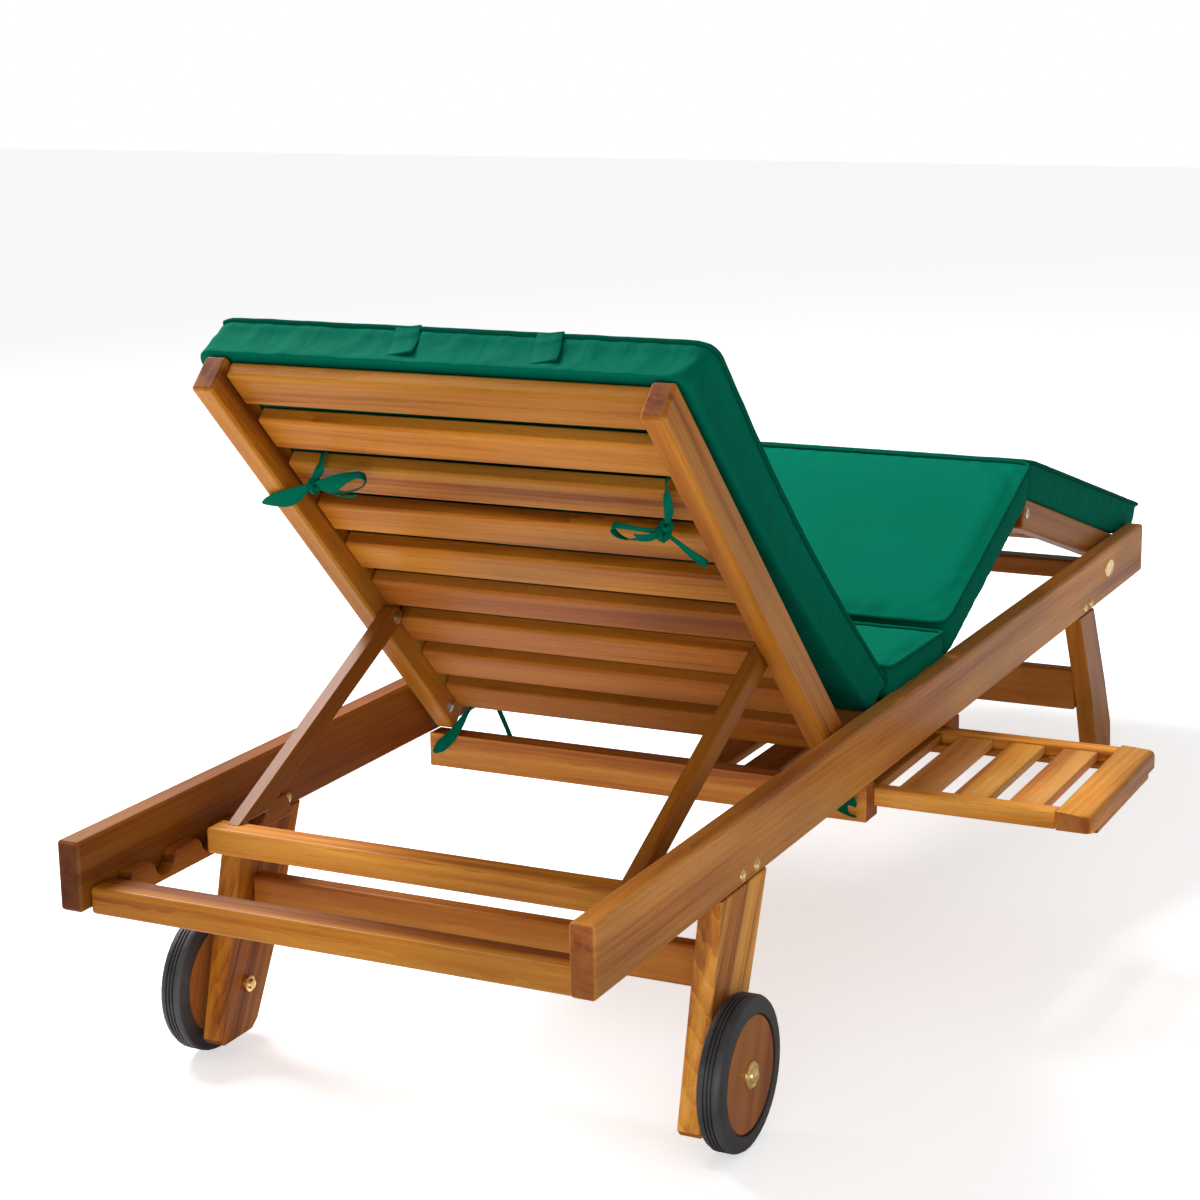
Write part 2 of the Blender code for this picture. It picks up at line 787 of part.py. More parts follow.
def disc_profile(width):
    inset = 0.0015
    return [
        (AXLE_BORE_RADIUS, width - inset),
        (DISC_RADIUS - 0.002, width - inset),
        (DISC_RADIUS, width - inset - 0.002),
        (DISC_RADIUS, inset + 0.002),
        (DISC_RADIUS - 0.002, inset),
        (AXLE_BORE_RADIUS, inset),
        (AXLE_BORE_RADIUS, width - inset),
    ]


def wheel(label, side, axis):
    width = WHEEL_OUTER_Y - WHEEL_INNER_Y
    inner = side * WHEEL_INNER_Y
    tyre = turned(f"tyre_{label}", tyre_profile(width), 0.0, 0.0, inner, side, axis, TYRE_STEPS)
    material(tyre, RUBBER, 0.75)
    disc = turned(
        f"wheel_disc_{label}", disc_profile(width), 0.0, 0.0, inner, side, axis, TYRE_STEPS
    )
    material(disc, DARK_WOOD, 0.55)


# ---- Assembly ------------------------------------------------------------------------------------------


def build():
    bed = axis_empty("bed_frame", (-ORIGIN_X, -ORIGIN_Y, 0.0))
    side_rails(bed)
    cross_pieces(bed)
    racks(bed)
    legs(bed)
    wheel_axles(bed)
    tray_runners(bed)
    cushion("seat_cushion", SEAT_CUSHION_START, SEAT_CUSHION_END, SEAT_TOP + CUSHION_LIFT, bed)
    back = axis_empty("backrest_axis", (BACK_PIVOT_X, 0.0, BACK_PIVOT_Z), BACK_ANGLE, bed)
    backrest(back, bed)
    prop(axis_empty("prop_axis", (PROP_BOLT_X, 0.0, PROP_BOLT_Z), 0.0, bed))
    thigh_panel(axis_empty("thigh_axis", (THIGH_PIVOT_X, 0.0, THIGH_PIVOT_Z), -THIGH_ANGLE, bed))
    calf_panel(axis_empty("knee_axis", (KNEE_X, 0.0, KNEE_Z), CALF_ANGLE, bed))
    tray(axis_empty("tray_slide", (0.0, 0.0, 0.0), 0.0, bed))
    for label, side in sides():
        wheel(label, side, axis_empty(f"wheel_axis_{label}", (WHEEL_X, 0.0, WHEEL_Z), 0.0, bed))


clear_scene()
PARTS = new_collection("sun_lounger")
CUTTERS = new_collection("cutters")
build()
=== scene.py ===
import json
from math import cos, pi, radians, sin, tau
from random import Random

import bmesh
import bpy
import numpy as np
from mathutils import Matrix, Vector, noise
from mathutils.bvhtree import BVHTree


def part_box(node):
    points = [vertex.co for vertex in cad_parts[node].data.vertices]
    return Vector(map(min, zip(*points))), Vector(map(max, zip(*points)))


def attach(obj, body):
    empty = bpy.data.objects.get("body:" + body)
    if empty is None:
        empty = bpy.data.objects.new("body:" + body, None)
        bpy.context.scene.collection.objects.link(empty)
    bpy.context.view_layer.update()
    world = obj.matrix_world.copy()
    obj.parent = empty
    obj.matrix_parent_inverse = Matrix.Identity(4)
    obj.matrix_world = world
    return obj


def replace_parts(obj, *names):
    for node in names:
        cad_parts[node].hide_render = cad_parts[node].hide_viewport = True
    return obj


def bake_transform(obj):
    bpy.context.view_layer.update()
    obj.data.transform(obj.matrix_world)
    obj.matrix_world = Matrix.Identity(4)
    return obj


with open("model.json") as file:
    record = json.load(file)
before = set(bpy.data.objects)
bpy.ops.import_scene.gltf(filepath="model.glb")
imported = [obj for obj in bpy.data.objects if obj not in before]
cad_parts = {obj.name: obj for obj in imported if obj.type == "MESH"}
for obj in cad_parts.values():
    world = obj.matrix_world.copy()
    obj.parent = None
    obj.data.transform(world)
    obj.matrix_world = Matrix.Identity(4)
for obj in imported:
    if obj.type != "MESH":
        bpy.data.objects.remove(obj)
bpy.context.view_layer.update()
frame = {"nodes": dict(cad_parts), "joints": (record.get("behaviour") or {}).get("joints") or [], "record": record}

# Looks of a reclining sun lounger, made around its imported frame. All lengths are metres.
# Bed coordinates: x runs from the head end of the side rails, y from the centreline and
# z from the ground. Panel coordinates: s along a panel from its hinge, y across it and
# n square to its face. Every mesh is written in the row frame, with its object at zero.

# ---- Places read from the frame

RAIL_LOW, RAIL_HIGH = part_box("side_rail_left")
BED_X = RAIL_LOW.x
BED_Y = (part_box("side_rail_right")[0].y + RAIL_HIGH.y) / 2
RAIL_INNER = RAIL_LOW.y - BED_Y
RAIL_OUTER = RAIL_HIGH.y - BED_Y
RAIL_BOTTOM = RAIL_LOW.z
JOINTS = {joint["name"]: joint for joint in frame["joints"]}
SIDES = (("left", 1.0), ("right", -1.0))


def principal_axes(obj):
    """The directions of an object's longest, middle and shortest extents."""
    points = np.array([vertex.co for vertex in obj.data.vertices])
    axes = np.linalg.svd(points - points.mean(0), full_matrices=False)[2]
    axes = [Vector(axis) * (1.0 if axis[np.argmax(np.abs(axis))] > 0 else -1.0) for axis in axes]
    return sorted(axes, key=lambda axis: -np.ptp(points @ np.array(axis)))


class Panel:
    """Axes of a flat panel that turns about a hinge across the bed."""

    def __init__(self, origin, along):
        self.origin = Vector((origin[0], BED_Y, origin[2]))
        self.along = Vector((along[0], 0.0, along[2])).normalized()
        self.normal = Vector((-self.along.z, 0.0, self.along.x))
        if self.normal.z < 0:
            self.normal = -self.normal

    def at(self, s, y, n):
        return self.origin + self.along * s + Vector((0.0, y, 0.0)) + self.normal * n


def hinged_panel(joint, stile, towards):
    along = principal_axes(frame["nodes"][stile])[0]
    if along.dot(Vector(towards)) < 0:
        along = -along
    return Panel(JOINTS[joint]["pos_m"], along)


BED = Panel((BED_X, BED_Y, 0.0), (1.0, 0.0, 0.0))
BACK = hinged_panel("backrest_recline", "back_stile_left", (0.0, 0.0, 1.0))
THIGH = hinged_panel("knee_lift", "thigh_stile_left", (1.0, 0.0, 0.0))
CALF = hinged_panel("knee_fold", "calf_stile_left", (1.0, 0.0, 0.0))

# ---- Shader nodes


class Shader:
    """A node material under construction, with one Principled shader."""

    def __init__(self, name):
        self.material = bpy.data.materials.new(name)
        self.material.use_nodes = True
        self.tree = self.material.node_tree
        self.surface = self.tree.nodes["Principled BSDF"]
        self.coords = self.tree.nodes.new("ShaderNodeTexCoord")

    def node(self, kind, inputs=(), **settings):
        made = self.tree.nodes.new("ShaderNode" + kind)
        for name, value in settings.items():
            setattr(made, name, value)
        for name, value in dict(inputs).items():
            self.put(made.inputs[name], value)
        return made

    def put(self, socket, value):
        if isinstance(value, bpy.types.NodeSocket):
            self.tree.links.new(value, socket)
        else:
            socket.default_value = value

    def set(self, **values):
        """Sets sockets of the Principled shader. A name's underscores stand for spaces."""
        for name, value in values.items():
            self.put(self.surface.inputs[name.replace("_", " ")], value)

    def math(self, operation, a, b=0.0, c=0.0, clamp=False):
        made = self.node("Math", {0: a, 1: b, 2: c}, operation=operation, use_clamp=clamp)
        return made.outputs[0]

    def placed(self, rotation=(0, 0, 0), location=(0, 0, 0)):
        inputs = {"Vector": self.coords.outputs["Object"], "Rotation": rotation, "Location": location}
        return self.node("Mapping", inputs).outputs[0]

    def stretched(self, vector, scale):
        made = self.node("VectorMath", {0: vector, 1: scale}, operation="MULTIPLY")
        return made.outputs[0]

    def noise(self, vector, scale, detail=2.0, roughness=0.5, output="Fac"):
        inputs = {"Vector": self.stretched(vector, scale), "Scale": 1.0, "Detail": detail}
        inputs["Roughness"] = roughness
        return self.node("TexNoise", inputs).outputs[output]

    def span(self, value, low, high, out_low=0.0, out_high=1.0):
        inputs = {"Value": value, "From Min": low, "From Max": high}
        inputs.update({"To Min": out_low, "To Max": out_high})
        return self.node("MapRange", inputs, interpolation_type="SMOOTHSTEP").outputs[0]

    def ramp(self, value, stops):
        made = self.node("ValToRGB", {"Fac": value})
        elements = made.color_ramp.elements
        while len(elements) < len(stops):
            elements.new(0.5)
        for element, (position, colour) in zip(elements, stops):
            element.position = position
            element.color = (*colour, 1.0)
        return made.outputs["Color"]

    def mix(self, share, a, b, blend="MIX"):
        made = self.node("Mix", data_type="RGBA", blend_type=blend)
        colours = [socket for socket in made.inputs if socket.type == "RGBA"]
        self.put(made.inputs[0], share)
        self.put(colours[0], a if isinstance(a, bpy.types.NodeSocket) else (*a, 1.0))
        self.put(colours[1], b if isinstance(b, bpy.types.NodeSocket) else (*b, 1.0))
        return [socket for socket in made.outputs if socket.type == "RGBA"][0]

    def bump(self, height, distance, strength=1.0, base=None):
        inputs = {"Height": height, "Distance": distance, "Strength": strength}
        if base is not None:
            inputs["Normal"] = base
        return self.node("Bump", inputs).outputs["Normal"]


# ---- Wood

RING_SCALE = 34.0
DARK_STREAK = (0.150, 0.037, 0.004)
BROWN = (0.335, 0.088, 0.006)
HONEY = (0.545, 0.184, 0.010)
STRAW = (0.665, 0.282, 0.034)
REDDISH = (0.300, 0.078, 0.014)


def timber(name, axes, seed, tone=0.0, depth=1.0):
    """Oiled hardwood with its grain along axes[0].

    tone moves a board from honey, at 0, towards red-brown, at 1. depth scales its brightness as painted light and
    shade: paler above 1, darker below 1.
    """
    draw = Random(seed)
    shader = Shader(name)
    along, across = axes[0].normalized(), axes[1].normalized()
    turn = Matrix((along, across, along.cross(across)))
    lean = Matrix.Rotation(radians(draw.uniform(-2.2, 2.2)), 3, "Y")
    lean = lean @ Matrix.Rotation(radians(draw.uniform(-1.6, 1.6)), 3, "Z")
    place = shader.placed(
        (lean @ turn).to_euler(),
        (draw.uniform(-4, 4), draw.uniform(0.03, 0.16), draw.uniform(-0.09, 0.09)),
    )
    wander = shader.noise(place, (1.3, 7.0, 7.0), 2.0, output="Color")
    drift = shader.node("VectorMath", {0: wander, 1: (0.5, 0.5, 0.5)}, operation="SUBTRACT")
    drift = shader.stretched(drift.outputs[0], (0.0, 0.016, 0.016))
    warped = shader.node("VectorMath", {0: place, 1: drift}, operation="ADD").outputs[0]
    rings = shader.node(
        "TexWave",
        {
            "Vector": shader.stretched(warped, (0.25, 1.0, 1.0)),
            "Scale": RING_SCALE * draw.uniform(0.8, 1.3),
            "Distortion": 3.0,
            "Detail": 2.0,
            "Detail Scale": 1.2,
        },
        wave_type="RINGS",
        rings_direction="X",
        wave_profile="SAW",
    ).outputs["Fac"]
    fibre = shader.noise(place, (9.0, 520.0, 520.0), 4.0, 0.65)
    streak = shader.noise(warped, (0.9, 30.0, 30.0), 4.0, 0.58)
    pores = shader.noise(place, (34.0, 1500.0, 1500.0), 1.0)
    mixed = shader.math("MULTIPLY_ADD", rings, 0.14, shader.math("MULTIPLY", streak, 1.80))
    mixed = shader.math("MULTIPLY_ADD", fibre, 0.26, shader.math("SUBTRACT", mixed, 0.565))
    colour = shader.ramp(
        mixed, ((0.14, DARK_STREAK), (0.33, BROWN), (0.52, HONEY), (0.82, STRAW))
    )
    colour = shader.mix(0.08 + 0.70 * tone, colour, REDDISH)
    open_pores = shader.span(pores, 0.60, 0.70, 0.0, 0.32)
    colour = shader.mix(open_pores, colour, DARK_STREAK)
    blotch = shader.span(shader.noise(place, (2.5, 7.0, 7.0)), 0.3, 0.7, 0.72, 1.14)
    colour = shader.node("VectorMath", {0: colour, "Scale": blotch}, operation="SCALE").outputs[0]
    # End grain drinks more oil, so it is darker and redder.
    facing = shader.node(
        "VectorMath", {0: shader.coords.outputs["Normal"], 1: along}, operation="DOT_PRODUCT"
    ).outputs["Value"]
    end = shader.span(shader.math("ABSOLUTE", facing), 0.55, 0.92)
    end_colour = shader.mix(1.0, colour, (0.52, 0.40, 0.42), "MULTIPLY")
    colour = shader.mix(end, colour, end_colour)
    # Painted light: depth above 1 makes a board paler, and less orange too; depth below 1 paints shade.
    painted_paleness = max(depth - 1.0, 0.0)
    painted_light_tint = (depth, depth * (1.0 + 0.40 * painted_paleness), depth * (1.0 + 2.4 * painted_paleness))
    colour = shader.mix(1.0, colour, painted_light_tint, "MULTIPLY")
    rough = shader.math("MULTIPLY_ADD", fibre, 0.22, 0.30)
    rough = shader.math("MULTIPLY_ADD", end, 0.18, rough)
    relief = shader.bump(rings, 0.0004, 0.12)
    relief = shader.bump(fibre, 0.0004, 0.30, relief)
    shader.set(Base_Color=colour, Roughness=rough, Normal=relief)
    shader.set(IOR=1.48, Specular_IOR_Level=0.16, Coat_Weight=0.03, Coat_Roughness=0.30)
    return shader.material


# ---- Cloth, rubber and metal

GREEN = (0.0, 0.141, 0.083)
GREEN_WORN = (0.0, 0.164, 0.100)
THREAD = 0.0011
WAVE_UNIT = tau / 20.0


def canvas(name, panel, shade=1.0, gather=0.0):
    """Woven outdoor canvas, its threads along and across a panel.

    shade scales the colour's brightness; on the piping it is painted shade. gather deepens the fine upright
    wrinkles of the boxing.
    """
    shader = Shader(name)
    turn = Matrix((panel.along, Vector((0, 1, 0)), panel.along.cross(Vector((0, 1, 0)))))
    place = shader.placed(turn.to_euler())
    threads = []
    for direction in "XYZ":
        wave = {"Vector": place, "Scale": WAVE_UNIT / THREAD, "Distortion": 0.35, "Detail": 1.0}
        made = shader.node("TexWave", wave, wave_type="BANDS", bands_direction=direction)
        threads.append(made.outputs["Fac"])
    weave = shader.math("ADD", shader.math("ADD", threads[0], threads[1]), threads[2])
    slub = shader.noise(place, (60.0, 900.0, 60.0), 2.0)
    patch = shader.span(shader.noise(place, (6.0, 6.0, 6.0), 3.0), 0.3, 0.7)
    colour = shader.mix(shader.math("MULTIPLY", patch, 0.28), GREEN, GREEN_WORN)
    tone = shader.math("MULTIPLY_ADD", weave, 0.045, 0.90 * shade)
    tone = shader.math("MULTIPLY_ADD", slub, 0.08 * shade, tone)
    colour = shader.node("VectorMath", {0: colour, "Scale": tone}, operation="SCALE").outputs[0]
    crumple = shader.noise(place, (16.0, 16.0, 22.0), 3.0, 0.45)
    relief = shader.bump(crumple, 0.0035, 0.35)
    if gather:
        upright = shader.node(
            "VectorMath",
            {0: shader.coords.outputs["Normal"], 1: panel.normal},
            operation="DOT_PRODUCT",
        ).outputs["Value"]
        boxing = shader.span(shader.math("ABSOLUTE", upright), 0.75, 0.35)
        folds = shader.noise(place, (105.0, 105.0, 9.0), 2.0, 0.4)
        relief = shader.bump(folds, 0.004, shader.math("MULTIPLY", boxing, gather), relief)
    relief = shader.bump(weave, 0.00022, 0.5, relief)
    rough = shader.math("MULTIPLY_ADD", slub, 0.15, 0.70)
    shader.set(Base_Color=colour, Roughness=rough, Normal=relief)
    shader.set(Specular_IOR_Level=0.015)
    return shader.material


def rubber():
    shader = Shader("tyre_rubber")
    place = shader.placed()
    grain = shader.noise(place, (700.0, 700.0, 700.0), 2.0)
    dust = shader.span(shader.noise(place, (22.0, 22.0, 22.0), 4.0), 0.35, 0.75)
    colour = shader.mix(dust, (0.030, 0.028, 0.030), (0.068, 0.062, 0.064))
    rough = shader.math("MULTIPLY_ADD", dust, 0.22, 0.42)
    shader.set(Base_Color=colour, Roughness=rough, Normal=shader.bump(grain, 0.0003, 0.5))
    shader.set(Specular_IOR_Level=0.45)
    return shader.material


def metal(name, colour, tarnish, roughness):
    shader = Shader(name)
    place = shader.placed()
    stain = shader.span(shader.noise(place, (160.0, 160.0, 160.0), 3.0), 0.35, 0.75)
    scratches = shader.noise(place, (1500.0, 300.0, 1500.0), 2.0)
    rough = shader.math("MULTIPLY_ADD", stain, 0.16, roughness)
    shader.set(Base_Color=shader.mix(stain, colour, tarnish), Roughness=rough)
    shader.set(Metallic=1.0, Normal=shader.bump(scratches, 0.0001, 0.3))
    return shader.material


RUBBER = rubber()
BRASS = metal("brass", (1.0, 0.76, 0.34), (0.85, 0.54, 0.19), 0.20)
STEEL = metal("bright_steel", (0.72, 0.70, 0.66), (0.48, 0.45, 0.40), 0.24)

# ---- Mesh helpers


def lerp(a, b, t):
    return a + (b - a) * t


def smoothstep(t):
    t = min(max(t, 0.0), 1.0)
    return t * t * (3 - 2 * t)


def linked(name, data):
    obj = bpy.data.objects.new(name, data)
    bpy.context.scene.collection.objects.link(obj)
    return obj


def mesh_object(name, mesh, material, body=None):
    """A smooth-shaded object in the row frame, which rides on a body if one is named."""
    mesh.polygons.foreach_set("use_smooth", [True] * len(mesh.polygons))
    for made in material if isinstance(material, (list, tuple)) else [material]:
        mesh.materials.append(made)
    obj = linked(name, mesh)
    if body:
        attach(obj, body)
    return obj


def new_object(name, verts, faces, material, body=None):
    mesh = bpy.data.meshes.new(name)
    mesh.from_pydata([tuple(vert) for vert in verts], [], faces)
    mesh.update()
    return mesh_object(name, mesh, material, body)


def sharpen(obj, degrees):
    obj.data.set_sharp_from_angle(angle=radians(degrees))
    return obj


def from_bmesh(name, shape, material, body=None):
    bmesh.ops.recalc_face_normals(shape, faces=shape.faces)
    mesh = bpy.data.meshes.new(name)
    shape.to_mesh(mesh)
    shape.free()
    return mesh_object(name, mesh, material, body)


def block(low, high, place):
    """A box between two corners, each point put where place(x, y, z) says."""
    shape = bmesh.new()
    bmesh.ops.create_cube(shape, size=1.0)
    for vert in shape.verts:
        vert.co = place(*(lerp(low[i], high[i], vert.co[i] + 0.5) for i in range(3)))
    return shape


def rounded(shape, edges, offset, segments, profile=0.5):
    bmesh.ops.bevel(
        shape, geom=edges, offset=offset, segments=segments, profile=profile, affect="EDGES"
    )


def board(name, panel, low, high, body, seed, tone=0.0, edge=0.0022, along="y"):
    """A sawn board in a panel's coordinates, with rounded edges and its own grain."""
    shape = block(low, high, panel.at)
    rounded(shape, shape.edges[:], edge, 3)
    axes = {"s": (panel.along, panel.normal), "y": (Vector((0, 1, 0)), panel.along)}[along]
    return sharpen(from_bmesh(name, shape, timber(name, axes, seed, tone), body), 25.0)


def frame_at(tangent, up):
    side = tangent.cross(up).normalized()
    return side, side.cross(tangent).normalized()


def swept(path, ups, section, closed=False):
    """Sweeps a closed section along a path. section(i) lists (side, up) offsets at point i."""
    verts, faces = [], []
    count = len(path)
    for i, point in enumerate(path):
        before = path[i - 1] if closed or i else point
        after = path[(i + 1) % count] if closed or i + 1 < count else point
        side, up = frame_at((after - before).normalized(), ups[i])
        ring = section(i)
        verts += [point + side * a + up * b for a, b in ring]
    size = len(ring)
    for i in range(count if closed else count - 1):
        a, b = i * size, ((i + 1) % count) * size
        faces += [(a + j, a + (j + 1) % size, b + (j + 1) % size, b + j) for j in range(size)]
    if not closed:
        faces.append(tuple(range(size))[::-1])
        faces.append(tuple(range((count - 1) * size, count * size)))
    return verts, faces


def round_section(radius, sides=10):
    turns = [tau * k / sides for k in range(sides)]
    ring = [(radius * cos(turn), radius * sin(turn)) for turn in turns]
    return lambda i: ring


SPAN_STEPS = 7


def smooth_path(points):
    """A Catmull-Rom curve through rows of numbers: a point, and anything that goes with it."""
    rows = [np.array(point, float) for point in points]
    ends = [rows[0], *rows, rows[-1]]
    path = []
    for a, b, c, d in zip(ends, ends[1:], ends[2:], ends[3:]):
        for step in range(SPAN_STEPS):
            t = step / SPAN_STEPS
            lower = 2 * b + (c - a) * t + (2 * a - 5 * b + 4 * c - d) * t**2
            path.append(0.5 * lower + 0.5 * (3 * b - a - 3 * c + d) * t**3)
    path.append(rows[-1])
    return path


def tape(points, panel, thickness=0.0014, up=None):
    """A folded cotton tape. Each point is (s, y, n, width, twist in degrees)."""
    rows = smooth_path(points)
    path = [panel.at(*row[:3]) for row in rows]
    ups = []
    for i, row in enumerate(rows):
        ahead = path[min(i + 1, len(path) - 1)] - path[max(i - 1, 0)]
        ups.append(Matrix.Rotation(radians(row[4]), 3, ahead.normalized()) @ (up or panel.normal))

    def section(i):
        half, thick = rows[i][3] / 2, thickness / 2
        return [
            (-half, 0.0),
            (-half * 0.92, thick),
            (-half * 0.30, thick * 0.75),
            (half * 0.30, thick * 0.75),
            (half * 0.92, thick),
            (half, 0.0),
            (half * 0.92, -thick),
            (0.0, -thick * 0.75),
            (-half * 0.92, -thick),
        ]

    return swept(path, ups, section)


def joined(parts):
    """Several (verts, faces) as one."""
    verts, faces = [], []
    for part_verts, part_faces in parts:
        start = len(verts)
        verts += list(part_verts)
        faces += [tuple(start + index for index in face) for face in part_faces]
    return verts, faces


def turned(name, profile, centre, axis, material, body, steps=48):
    """Turns (radius, distance) points about an axis through centre."""
    axis = Vector(axis).normalized()
    first = axis.orthogonal().normalized()
    second = axis.cross(first)
    shape = bmesh.new()
    rings = []
    for radius, along in profile:
        outs = [first * cos(tau * k / steps) + second * sin(tau * k / steps) for k in range(steps)]
        places = [Vector(centre) + axis * along + out * radius for out in outs]
        rings.append([shape.verts.new(place) for place in places])
    for ring, following in zip(rings, rings[1:]):
        for k in range(steps):
            after = (k + 1) % steps
            shape.faces.new((ring[k], ring[after], following[after], following[k]))
    shape.faces.new(rings[0][::-1])
    shape.faces.new(rings[-1])
    return sharpen(from_bmesh(name, shape, material, body), 32.0)


def cut_slot(obj, centre, axis, length, width, depth, turn):
    """Cuts a screwdriver slot across a head."""
    axis = Vector(axis).normalized()
    side = (Matrix.Rotation(turn, 3, axis) @ axis.orthogonal()).normalized()
    other = axis.cross(side)
    corners = [
        Vector(centre) + side * a * length / 2 + other * b * width / 2 + axis * c
        for a in (-1, 1)
        for b in (-1, 1)
        for c in (-depth, depth * 3)
    ]
    shape = bmesh.new()
    for corner in corners:
        shape.verts.new(corner)
    bmesh.ops.convex_hull(shape, input=shape.verts[:])
    cutter = from_bmesh(obj.name + "_slot", shape, STEEL)
    cut = obj.modifiers.new("slot", "BOOLEAN")
    cut.operation = "DIFFERENCE"
    cut.object = cutter
    bake_modifiers(obj)
    bpy.data.objects.remove(cutter, do_unlink=True)
    return sharpen(obj, 32.0)


def bake_modifiers(obj):
    """Replaces the mesh with what its modifiers make of it."""
    bpy.context.view_layer.update()
    graph = bpy.context.evaluated_depsgraph_get()
    mesh = bpy.data.meshes.new_from_object(obj.evaluated_get(graph))
    obj.modifiers.clear()
    obj.data = mesh


# ---- Carried-over CAD parts

# Tone and depth of the boards that differ from the rest. Tone makes a board redder: this is its own colour, and on
# the lower back slats, the far rail and the prop arms it is painted shade as well. Depth is painted light and
# shade: the near side rail, near head leg, crossbar and tray boards are paler, and the far rail, cross rails, prop
# arms and some legs are darker.
PLAIN_TONE_AND_PAINTED_LIGHT = (0.08, 1.0)
TONES_AND_PAINTED_LIGHT = {
    "side_rail_right": (0.55, 1.42),
    "side_rail_left": (0.75, 0.72),
    "head_cross_rail": (0.08, 0.82),
    "foot_cross_rail": (0.50, 0.90),
    "head_leg_right": (0.08, 1.65),
    "head_leg_stretcher": (0.70, 0.95),
    "foot_leg_left": (0.50, 1.0),
    "foot_leg_right": (0.50, 0.90),
    "foot_leg_stretcher": (0.75, 1.0),
    "prop_rack_left": (0.65, 1.0),
    "prop_rack_right": (0.65, 1.0),
    "prop_arm_left": (0.70, 0.62),
    "prop_arm_right": (0.45, 0.80),
    "prop_crossbar": (0.08, 1.30),
    "back_slat_2": (0.20, 1.0),
    "back_slat_5": (0.0, 1.0),
    "back_slat_6": (0.80, 1.0),
    "back_slat_7": (0.50, 1.0),
    "back_slat_8": (0.75, 1.0),
    "back_slat_9": (0.70, 1.0),
    "calf_stile_left": (0.45, 1.0),
    "calf_stile_right": (0.45, 1.0),
    "tray_runner_head": (0.55, 1.45),
    "tray_runner_foot": (0.60, 1.0),
    "tray_batten_head": (0.08, 1.40),
    "tray_batten_foot": (0.08, 1.40),
    "tray_slat_1": (0.55, 1.50),
    "tray_slat_2": (0.10, 1.50),
    "tray_slat_3": (0.65, 1.50),
}
WHEEL_GRAIN = (Vector((0.35, 0.0, 1.0)), Vector((0, 1, 0)))
# Wheel discs: a red-brown tone, and a depth of 1.35 that paints light on them.
WHEEL_TONE_AND_PAINTED_LIGHT = (0.95, 1.35)

WELD_REACH = 0.00002
EASED_EDGE = 0.0012


def smooth_welded(obj):
    """Shades a CAD piece smooth and welds its corners with a modifier, which leaves its own mesh."""
    obj.data.polygons.foreach_set("use_smooth", [True] * len(obj.data.polygons))
    weld = obj.modifiers.new("weld", "WELD")
    weld.merge_threshold = WELD_REACH


def ease_edges(obj):
    """Rounds a CAD board's chamfers."""
    smooth_welded(obj)
    planar = obj.modifiers.new("planar", "DECIMATE")
    planar.decimate_type = "DISSOLVE"
    planar.angle_limit = radians(0.5)
    rounding = obj.modifiers.new("round", "BEVEL")
    rounding.width = EASED_EDGE
    rounding.segments = 2
    rounding.limit_method = "ANGLE"
    rounding.angle_limit = radians(25)
    shading = obj.modifiers.new("shading", "WEIGHTED_NORMAL")
    shading.weight = 100
    shading.keep_sharp = False


def smooth_round(obj):
    """Shades a turned CAD piece smooth between its real edges."""
    smooth_welded(obj)
    edges = obj.modifiers.new("edges", "EDGE_SPLIT")
    edges.split_angle = radians(32)


def dress(obj, material):
    obj.data.materials.clear()
    obj.data.materials.append(material)


def dress_cad():
    slots = {part["node"]: part["material_slot"] for part in frame["record"]["subparts"]}
    for seed, (name, obj) in enumerate(sorted(frame["nodes"].items()), 11):
        if slots[name] == "hardwood":
            # Each board's tone, and its depth as painted light and shade.
            look = TONES_AND_PAINTED_LIGHT.get(name, PLAIN_TONE_AND_PAINTED_LIGHT)
            dress(obj, timber("wood_" + name, principal_axes(obj), seed, *look))
            ease_edges(obj)
        elif slots[name] == "wheel_wood":
            dress(obj, timber("wood_" + name, WHEEL_GRAIN, seed, *WHEEL_TONE_AND_PAINTED_LIGHT))
            smooth_round(obj)
        elif slots[name] == "tyre_rubber":
            dress(obj, RUBBER)
            smooth_round(obj)
        elif slots[name] == "brass":
            dress(obj, STEEL if "bolt" in name else BRASS)
            smooth_round(obj)


# ---- Cushions

CELL = 0.0095
LAYERS = 7
PIPING = 0.0030
PIPING_PROUD = 0.0015
CREASE = 0.0030
FRAMES = 20
COVER_CLOTH = {
    "quality": 6,
    "mass": 0.22,
    "tension_stiffness": 18.0,
    "compression_stiffness": 12.0,
    "shear_stiffness": 6.0,
    "bending_stiffness": 0.35,
    "shrink_min": -0.015,
    "use_pressure": True,
    "uniform_pressure_force": 3.0,
}


